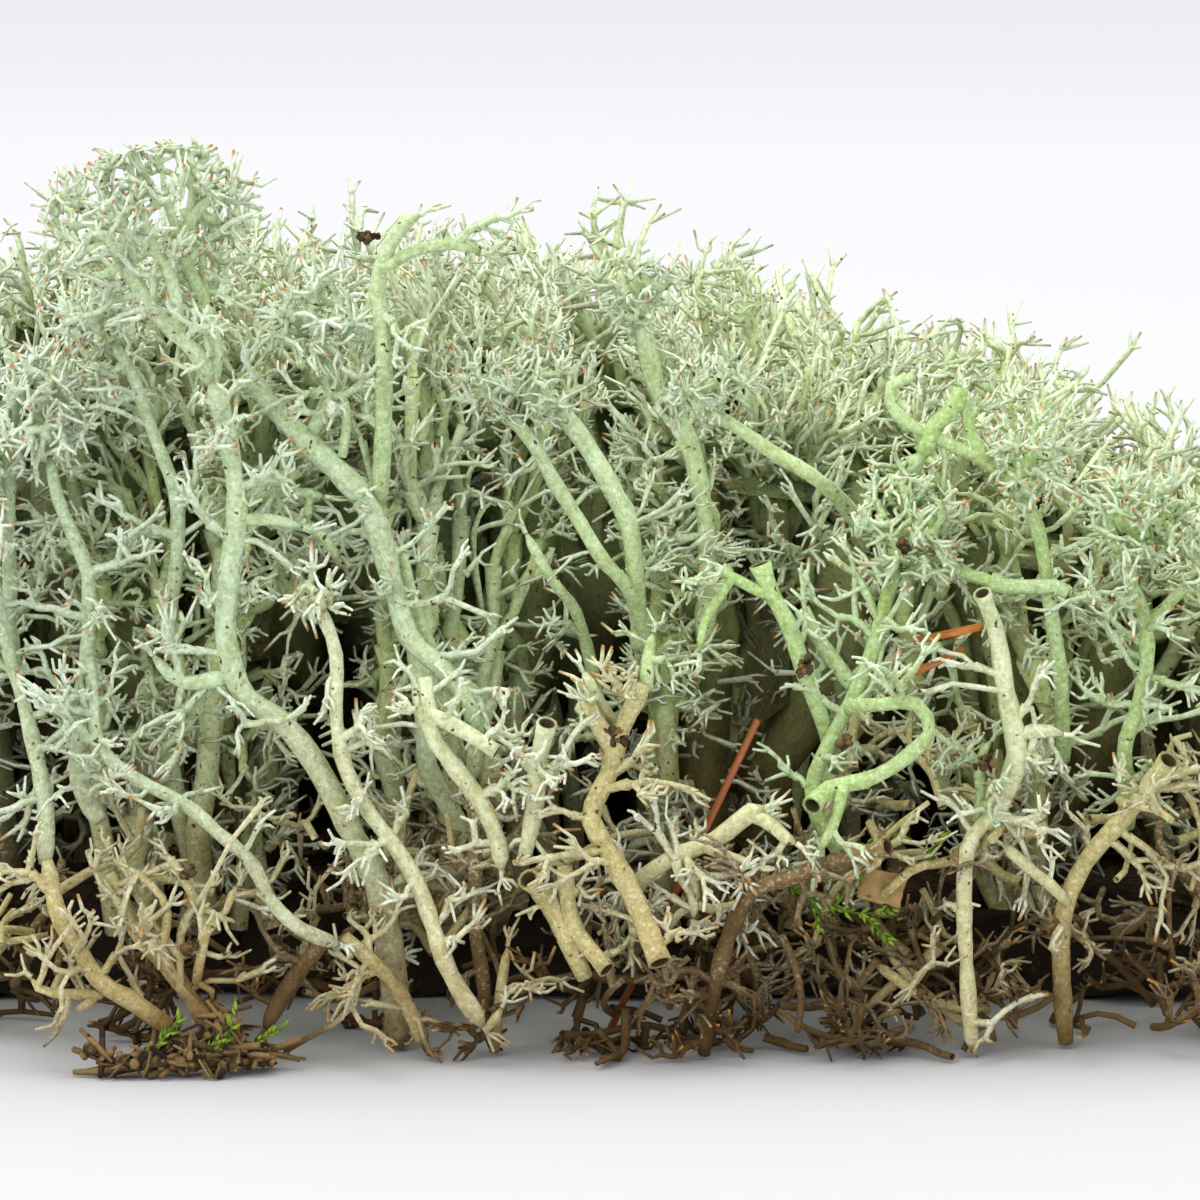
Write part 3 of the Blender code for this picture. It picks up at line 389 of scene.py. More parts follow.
def addProngs(bundle, tips, ways, thick, tints, deep, rng, shape, count, scale=1.0):
    # the last small blunt branchlets, which part like antlers at the end of a stalk
    sides, rings = shape
    howMany = np.clip(rng.poisson(count, len(tips)), 1 if count < 2 else 2, 4)
    which = np.repeat(np.arange(len(tips)), howMany)
    number = np.arange(len(which)) - np.repeat(np.cumsum(howMany) - howMany, howMany)
    across = normalised(np.cross(ways, np.where(np.abs(ways[:, 2:]) < 0.9, [[0, 0, 1.0]], [[1.0, 0, 0]])))
    other = np.cross(ways, across)
    turn = number / howMany[which] * math.tau + rng.uniform(0, math.tau, len(tips))[which] + rng.normal(0, 0.35, len(which))
    spread = rng.uniform(*growth["prongSpread"], len(which)) * (0.5 if count < 2 else 1.0)
    out = across[which] * np.cos(turn)[:, None] + other[which] * np.sin(turn)[:, None]
    way = ways[which] * np.cos(spread)[:, None] + out * np.sin(spread)[:, None]
    length = rng.uniform(*growth["prong"], len(which))[:, None] * scale
    bend = growth["prongBend"] * (ways[which] + rng.normal(0, 0.6, (len(which), 3)))
    start = tips[which] + (out * 0.35 - ways[which] * 0.6) * thick[which, None]
    spots = [start, start + way * length * 0.65, start + way * length + bend * length]
    paths = np.stack(spots if rings == 3 else [start, spots[2]], 1)
    width = np.minimum(growth["prongWidth"] * scale, thick[which] * 0.9)[:, None] * rng.uniform(0.85, 1.15, (len(which), 1))
    profile, browning = ([1.2, 1.0, 0.76], [0, 0.1, 1.0]) if rings == 3 else ([1.3, 0.6], [0, 0.9])
    brown = (rng.random(len(which)) < growth["brownTips"])[:, None]
    addTubes(bundle, paths, width * np.array(profile), sides, "flat", tints[which], brown * np.array(browning), 1.0, deep[which])


# colours and materials
def linear(hexColour):  # linear colour from a six-digit sRGB one
    channels = [int(hexColour[i:i + 2], 16) / 255 for i in (0, 2, 4)]
    return (*[c / 12.92 if c <= 0.04045 else ((c + 0.055) / 1.055) ** 2.4 for c in channels], 1.0)


def addNode(tree, kind, inputs=None, stops=None, **settings):
    node = tree.nodes.new(kind)
    for name, value in settings.items():
        setattr(node, name, value)
    for place, colour in stops or ():
        element = node.color_ramp.elements.new(place)
        element.color = (*colour, 1)
    if stops:
        node.color_ramp.elements.remove(node.color_ramp.elements[0])
        node.color_ramp.elements.remove(node.color_ramp.elements[-1])
    for socket, value in (inputs or {}).items():
        if isinstance(value, bpy.types.NodeSocket):
            tree.links.new(value, node.inputs[socket])
        else:
            node.inputs[socket].default_value = value
    return node


def blend(tree, share, low, high, kind="MIX"):  # from low to high by share
    low, high = (linear(v) if isinstance(v, str) else v for v in (low, high))
    node = addNode(tree, "ShaderNodeMix", {"Factor": share, "A": low, "B": high}, data_type="RGBA", blend_type=kind)
    return node.outputs["Result"]


def ramp(tree, value, low, high):  # 0 at low, 1 at high
    return addNode(tree, "ShaderNodeMapRange", {"Value": value, "From Min": low, "From Max": high}).outputs["Result"]


def grain(tree, where, size, detail=2.0, roughness=0.5):  # noise whose lumps are size millimetres across
    inputs = {"Vector": where, "Scale": 1 / (size * mm), "Detail": detail, "Roughness": roughness}
    return addNode(tree, "ShaderNodeTexNoise", inputs).outputs["Fac"]


def newMaterial(name, roughness, specular):
    material = bpy.data.materials.new(name)
    material.use_nodes = True
    shader = material.node_tree.nodes["Principled BSDF"]
    shader.inputs["Roughness"].default_value = roughness
    shader.inputs["Specular IOR Level"].default_value = specular
    return material, material.node_tree, shader


def mark(tree, name):
    return addNode(tree, "ShaderNodeAttribute", attribute_name=name).outputs["Fac"]


# Air-dry reindeer lichen has a felt-like skin with no cortex: pale, dull, with green algae in specks.
# Its young top is mint to yellow-green, its dead foot straw and then brown; stems deep inside are darkened to
# olive-brown, partly as dead stems and partly as painted shade.
skins = {
    "lichen_crown": {"mint": "c4cfab", "fresh": "dbec9e", "straw": "b3a876", "dead": "624e2a", "greenFrom": 24, "strawFrom": 8,
                     "youngShare": 0.6},
    "lichen_sage": {"mint": "bdcdae", "fresh": "bbcf94", "straw": "bcb186", "dead": "75603c", "greenFrom": 26, "strawFrom": 8,
                    "youngShare": 0.5},
    "lichen_green": {"mint": "b8ca9b", "fresh": "adc87e", "straw": "b0ac7b", "dead": "6f613a", "greenFrom": 18, "strawFrom": 6,
                     "youngShare": 0.5},
    "lichen_blue_green": {"mint": "b6c6a5", "fresh": "b6c798", "straw": "b7b08b", "dead": "74623f", "greenFrom": 22,
                          "strawFrom": 6, "youngShare": 0.55},
    "lichen_pale": {"mint": "d3d8b6", "fresh": "d0d7a2", "straw": "cfc397", "dead": "85704a", "greenFrom": 24, "strawFrom": 7,
                    "youngShare": 0.55},
    "lichen_straw": {"mint": "c9c193", "fresh": "c4bf84", "straw": "bba973", "dead": "7d6238", "greenFrom": 30, "strawFrom": 7,
                     "youngShare": 0.3},
    "lichen_brown": {"mint": "a4966c", "fresh": "9d9065", "straw": "836b43", "dead": "5c4628", "greenFrom": 32,
                     "strawFrom": 12, "youngShare": 0.12},
}
skinLook = {"young": "ebf1e0", "deepLow": "5c5029", "deepHigh": "6a7340", "tip": "b5854a", "inside": "3d3018", "dot": "5d4a2c",
            "granule": "eeefd9", "mottle": [(0.5, (0.68, 0.67, 0.5)), (0.7, (0.92, 0.95, 0.9)), (0.86, (1.14, 1.16, 1.24))]}


def lichenSkin(name, look):
    material, tree, shader = newMaterial(name, 0.86, 0.25)
    where = addNode(tree, "ShaderNodeTexCoord").outputs["Object"]
    apart = addNode(tree, "ShaderNodeSeparateXYZ", {"Vector": where}).outputs
    height = apart["Z"]
    # mintier on the clump's left, more yellow-green on its right, in patches a few centimetres across
    patch = addNode(tree, "ShaderNodeMath", {0: grain(tree, where, 18), 1: mark(tree, "tint")}, operation="ADD").outputs[0]
    patch = addNode(tree, "ShaderNodeMath", {0: apart["X"], 1: 5.0, 2: patch}, operation="MULTIPLY_ADD").outputs[0]
    green = blend(tree, ramp(tree, patch, 0.65, 1.3), look["mint"], look["fresh"])
    # how dead the skin is, from the foot up, with a ragged edge
    ragged = addNode(tree, "ShaderNodeMath", {0: grain(tree, where, 7, 3.0), 1: 0.030, 2: -0.015},
                     operation="MULTIPLY_ADD").outputs[0]
    raised = addNode(tree, "ShaderNodeMath", {0: height, 1: ragged}, operation="ADD").outputs[0]
    skin = blend(tree, ramp(tree, raised, look["strawFrom"] * mm, look["greenFrom"] * mm), look["straw"], green)
    rotten = ramp(tree, raised, (look["strawFrom"] + 1) * mm, (look["strawFrom"] - 8) * mm)
    young = addNode(tree, "ShaderNodeMath", {0: mark(tree, "young"), 1: look["youngShare"]}, operation="MULTIPLY").outputs[0]
    skin = blend(tree, young, skin, skinLook["young"])
    granules = addNode(tree, "ShaderNodeMath", {0: ramp(tree, grain(tree, where, 0.26, 1.0), 0.54, 0.7), 1: 0.4},
                       operation="MULTIPLY").outputs[0]
    skin = blend(tree, granules, skin, skinLook["granule"])
    skin = blend(tree, rotten, skin, look["dead"])
    # painted shade: stems deep in the clump blend towards a dark olive-brown by their deep mark, partly dead stems,
    # partly painted shade
    deadStemAndShadeSkin = blend(tree, ramp(tree, height, 16 * mm, 46 * mm), skinLook["deepLow"], skinLook["deepHigh"])
    skin = blend(tree, mark(tree, "deep"), skin, deadStemAndShadeSkin)
    # algae in specks of a quarter of a millimetre on the felt, in patches, and dark dots
    speck = grain(tree, where, 0.42, 3.0, 0.7)
    patches = grain(tree, where, 1.7, 2.0)
    mixed = addNode(tree, "ShaderNodeMath", {0: patches, 1: 0.45, 2: speck}, operation="MULTIPLY_ADD").outputs[0]
    mottle = addNode(tree, "ShaderNodeValToRGB", {"Fac": mixed},
                     stops=skinLook["mottle"]).outputs["Color"]
    skin = blend(tree, 1.0, skin, mottle, "MULTIPLY")
    dots = grain(tree, where, 0.5, 1.0)
    skin = blend(tree, ramp(tree, dots, 0.7, 0.76), skin, skinLook["dot"])
    skin = blend(tree, ramp(tree, mark(tree, "tipBrown"), 0.45, 0.95), skin, skinLook["tip"])
    # painted shade: the wall and floor of a broken end's hollow are painted dark, for the shade inside it
    skin = blend(tree, mark(tree, "hollow"), skin, skinLook["inside"])
    tree.links.new(skin, shader.inputs["Base Color"])
    bump = addNode(tree, "ShaderNodeBump", {"Height": speck, "Strength": 0.8, "Distance": 0.16 * mm}).outputs["Normal"]
    tree.links.new(bump, shader.inputs["Normal"])
    return material


def plainMatter(name, light, dark, grainSize, roughness, specular=0.3, bumpHeight=0.1):
    # litter, wood, leaf and moss: two colours in fine grain, shifted by each bit's own tint
    material, tree, shader = newMaterial(name, roughness, specular)
    where = addNode(tree, "ShaderNodeTexCoord").outputs["Object"]
    fine = grain(tree, where, grainSize, 3.0, 0.6)
    share = addNode(tree, "ShaderNodeMath", {0: fine, 1: mark(tree, "tint")}, operation="ADD").outputs[0]
    tree.links.new(blend(tree, ramp(tree, share, 0.65, 1.35), dark, light), shader.inputs["Base Color"])
    bump = addNode(tree, "ShaderNodeBump", {"Height": fine, "Strength": 0.6, "Distance": bumpHeight * mm}).outputs["Normal"]
    tree.links.new(bump, shader.inputs["Normal"])
    return material


materials = {name: lichenSkin(name, look) for name, look in skins.items()}
materials["litter"] = plainMatter("litter", "8a6f45", "241b0e", 0.7, 0.9)
materials["pine_needle"] = plainMatter("pine_needle", "c97a22", "8a4512", 1.6, 0.32, 0.5, 0.03)
materials["dead_leaf"] = plainMatter("dead_leaf", "c3a56f", "85673a", 0.8, 0.75)
materials["feather_moss"] = plainMatter("feather_moss", "86a32e", "43600f", 0.8, 0.6)
print("materials ready")

# tufts: body and crown of the clump
tufts = {
    "seed": 5,
    "cell": {"front": 3.35, "side": 3.25},     # one spray of tips in each cell of this size
    "spray": {"front": (2, 5), "side": (1, 4)},  # tips in a spray
    "spraySize": 1.0,
    "depth": {"front": 3.2, "side": 1.8},     # how far below a tuft's surface its tips lie, at most 2.5 times this
    "scale": {"front": 1.0, "side": 1.2},     # thickness of the stalks
    "density": ((0, 12, 22, 38, 50), (0.6, 0.75, 0.8, 0.9, 1.0)),  # share of the front's tips kept, by height
    "behindEach": 0.85,
    "tipsPerStalk": 42,
    "openShare": 0.12,      # a surface with less open space than this before it is hidden
    "hiddenShare": 0.05,
    "belowShare": 0.3,      # share of tips kept where a tuft's surface faces down
    "shade": (0.8, 6.5),    # from this depth on stems are darkened, from that on fully: partly dead brown stems, partly painted shade of the clump's inside
    "coreInset": {"front": 8.0, "side": 7.0},
    "coreDark": ((15, 45), (0.95, 0.65)),    # how dark the core is, by height: dead stems and painted shade of the tuft's inside, darker low down
    "coreOverlap": 0.9,
    "footSpread": ((12, 34), (4.5, 0.0)),  # and further than that at the matted foot, by height
    "coreBelow": {"front": 7.0, "side": 6.0},   # the core stays this far below the crown
}


def nodeMesh(name):
    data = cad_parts[name].data
    places = np.array([v.co[:] for v in data.vertices]) / mm
    data.calc_loop_triangles()
    return places, np.array([t.vertices[:] for t in data.loop_triangles])


def treeOf(meshes):
    places, faces, total = [], [], 0
    for co, triangles in meshes:
        places += [Vector(p) for p in co]
        faces += [tuple(f) for f in triangles + total]
        total += len(co)
    return BVHTree.FromPolygons(places, faces)


def faceNormals(places, faces):
    a, b, c = places[faces[:, 0]], places[faces[:, 1]], places[faces[:, 2]]
    cross = np.cross(b - a, c - a)
    return normalised(cross), np.linalg.norm(cross, axis=1) / 2


tuftNames = [n for n in sorted(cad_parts) if n.startswith("tuft_")]
tuftMeshes = {n: nodeMesh(n) for n in tuftNames}
tuftTree = treeOf(tuftMeshes.values())
lookouts = normalised(np.array([[x, y, z] for x in (-1, 0, 1) for y in (-1, 0, 1) for z in (-1, 0, 1) if x or y or z], float))


def seenShare(spot, normal):  # share of the ways out of a spot that no tuft blocks
    ways = [w for w in normalised(normal + 0.9 * lookouts) if w[2] > -0.1]
    return np.mean([tuftTree.ray_cast(Vector(spot), Vector(w))[0] is None for w in ways] or [0])


exposed = {}
for name, (places, faces) in tuftMeshes.items():
    normals, _ = faceNormals(places, faces)
    centres = places[faces].mean(1) + normals * 0.3
    exposed[name] = np.array([seenShare(c, n) > tufts["openShare"] for c, n in zip(centres, normals)])
openTree = treeOf([(p, f[exposed[n]]) for n, (p, f) in tuftMeshes.items()])


def depthInClump(spots):  # 0 near the clump's open surface, 1 deep inside
    depths = []
    for spot in spots:
        near, normal, _, far = openTree.find_nearest(Vector(spot))
        depths.append(far if (Vector(spot) - near).dot(normal) < 0 else 0.0)
    return np.clip((np.array(depths) - tufts["shade"][0]) / (tufts["shade"][1] - tufts["shade"][0]), 0, 1)


def surfaceTips(name, kind, rng):  # tips spread over the part of a tuft that can be seen
    places, faces = tuftMeshes[name]
    cell = tufts["cell"][kind]
    outwards, area = faceNormals(places, faces)
    count = int(area.sum() / cell**2 * 9)
    face = rng.choice(len(faces), count, p=area / area.sum())
    u, v = rng.random(count), rng.random(count)
    flip = u + v > 1
    u[flip], v[flip] = 1 - u[flip], 1 - v[flip]
    a, b, c = (places[faces[face, i]] for i in range(3))
    spots = a + (b - a) * u[:, None] + (c - a) * v[:, None]
    outward = outwards[face]
    depth = np.minimum(np.abs(rng.normal(0, tufts["depth"][kind], count)), 2.5 * tufts["depth"][kind]) - 0.4
    tips = np.hstack([spots - outward * depth[:, None], outward])
    kept = np.where(exposed[name][face], 1.0, tufts["hiddenShare"]) * np.where(outward[:, 2] < -0.25, tufts["belowShare"], 1.0)
    if kind == "front":
        kept *= np.interp(spots[:, 2], *tufts["density"])
    cells = np.floor((tips[:, :3] + rng.uniform(0, cell, 3)) / cell).astype(int)
    _, first = np.unique(cells, axis=0, return_index=True)
    first = np.sort(first)
    bases = tips[first[rng.random(len(first)) < kept[first]]]
    sprays = np.repeat(bases, rng.integers(*tufts["spray"][kind], len(bases)), axis=0)
    sprays[:, :3] += rng.normal(0, tufts["spraySize"] * tufts["scale"][kind], (len(sprays), 3))
    return sprays


def mergedCopy(name):  # a tuft's solid as one closed mesh
    bm = bmesh.new()
    bm.from_mesh(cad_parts[name].data)
    bmesh.ops.scale(bm, vec=(1 / mm,) * 3, verts=bm.verts)
    bmesh.ops.remove_doubles(bm, verts=bm.verts, dist=0.01)
    bmesh.ops.recalc_face_normals(bm, faces=bm.faces)
    return bm


def asLump(bm, values):
    bmesh.ops.triangulate(bm, faces=bm.faces)
    bm.verts.index_update()
    co = np.array([v.co[:] for v in bm.verts])
    triangles = np.array([[v.index for v in f.verts] for f in bm.faces])
    bm.free()
    return co, triangles, values


def tuftCore(name, kind):  # a dark mass behind a tuft's open surface: matted dead stems, and painted shade standing in for the shaded inside of the tuft
    bm = mergedCopy(name)
    bmesh.ops.subdivide_edges(bm, edges=bm.edges, cuts=1, use_grid_fill=True)
    bm.normal_update()
    moved = []
    for vert in bm.verts:
        near, _, _, far = openTree.find_nearest(vert.co)
        through = tuftTree.ray_cast(vert.co - vert.normal * 0.2, -vert.normal)[3] or 20.0
        inset = min(tufts["coreInset"][kind], 0.45 * through)
        rough = 1.2 * noise.noise(vert.co / 2.5) + 0.5 * noise.noise(vert.co / 1.1)
        outer = max(0.0, 1 - far / 6)  # deep inside the cores run into each other
        spread = tufts["coreOverlap"] + np.interp(vert.co.z, *tufts["footSpread"])
        place = vert.co - vert.normal * (outer * (inset + abs(rough)) - (1 - outer) * spread)
        crown = tuftTree.ray_cast(Vector((place.x, place.y, 99)), Vector((0, 0, -1)))[0] or place
        place.z = min(place.z, crown.z - tufts["coreBelow"][kind])
        moved.append(place)
    for vert, place in zip(bm.verts, moved):
        vert.co = place
        vert.co.z = max(vert.co.z, 3.0)
    co, triangles, _ = asLump(bm, {})
    # the core's deep mark paints it dark: dead stems and painted shade of the tuft's inside
    return co, triangles, {"deep": np.interp(co[:, 2], *tufts["coreDark"]), "tint": 0.6}


def makeTuft(name, rng):
    kind = "front" if "front" in name else "side"
    places, _ = tuftMeshes[name]
    low = places.min(0)
    foot = places[places[:, 2] < low[2] + 2].mean(0)
    tips = surfaceTips(name, kind, rng)
    tips[:, 3:] = normalised(tips[:, 3:] + rng.normal(0, 0.6, (len(tips), 3)))
    bundle, forks, ends = {}, [], []
    stalks = max(4, round(len(tips) / tufts["tipsPerStalk"]))
    shuffled = tips[rng.permutation(len(tips))]
    middles = shuffled[:stalks, :3].copy()
    for _ in range(6):
        near = np.argmin(((shuffled[:, None, :3] - middles[None]) ** 2).sum(-1), axis=1)
        middles = np.array([shuffled[near == i, :3].mean(0) if (near == i).any() else middles[i] for i in range(stalks)])
    for i in range(stalks):
        mine = shuffled[near == i]
        if not len(mine):
            continue
        lean = mine[:, :3].mean(0) - foot
        root = foot + np.array([lean[0] * 0.35, lean[1] * 0.35, 0]) + rng.normal(0, 2.2, 3) * [1, 1, 0]
        root[2] = low[2] - 1.5
        way = normalised(normalised(lean * [0.5, 0.5, 1]) + rng.normal(0, 0.3, 3))
        branchOut(root, way, mine, rng, forks, ends, tufts["behindEach"], growth["longestBare"])
    if kind == "front":
        addTwiglets(forks, ends, rng)
    addGrowth(bundle, forks, ends, kind, rng, 0.5 + rng.normal(0, 0.06), tufts["scale"][kind], depthInClump)
    return bundle, [tuftCore(name, kind)]


def addTwiglets(forks, ends, rng):  # small side branchlets on the bare lower stalks
    for at, way, fork, onward, carried in list(forks):
        if carried < 8:
            continue
        span = np.linalg.norm(fork - at)
        for _ in range(rng.poisson(span / 4.5)):
            spot = at + (fork - at) * rng.uniform(0.25, 0.95)
            out = normalised(np.cross(fork - at, rng.normal(0, 1, 3)) / span + np.array([0, -0.3, 0.35]))
            addBranchlet(spot, out, rng.uniform(1.8, 4.4), rng, forks, ends)


def addBranchlet(start, out, reach, rng, forks, ends):
    # a small side branch that forks once or twice
    count = rng.integers(1, 5)
    tips = start + out * reach + rng.normal(0, 0.32 * reach, (count, 3))
    facing = normalised(out + rng.normal(0, 0.5, (count, 3)))
    branchOut(start, out, np.hstack([tips, facing]), rng, forks, ends, 0.3)


rng = np.random.default_rng(tufts["seed"])
for name in tuftNames:
    bundle, lumps = makeTuft(name, rng)
    makePiece(name + "_lichen", bundle, materials["lichen_crown"], [name], lumps)
    print(name, "has", made[name + "_lichen"], "triangles")
print("tufts done,", sum(made.values()), "triangles")

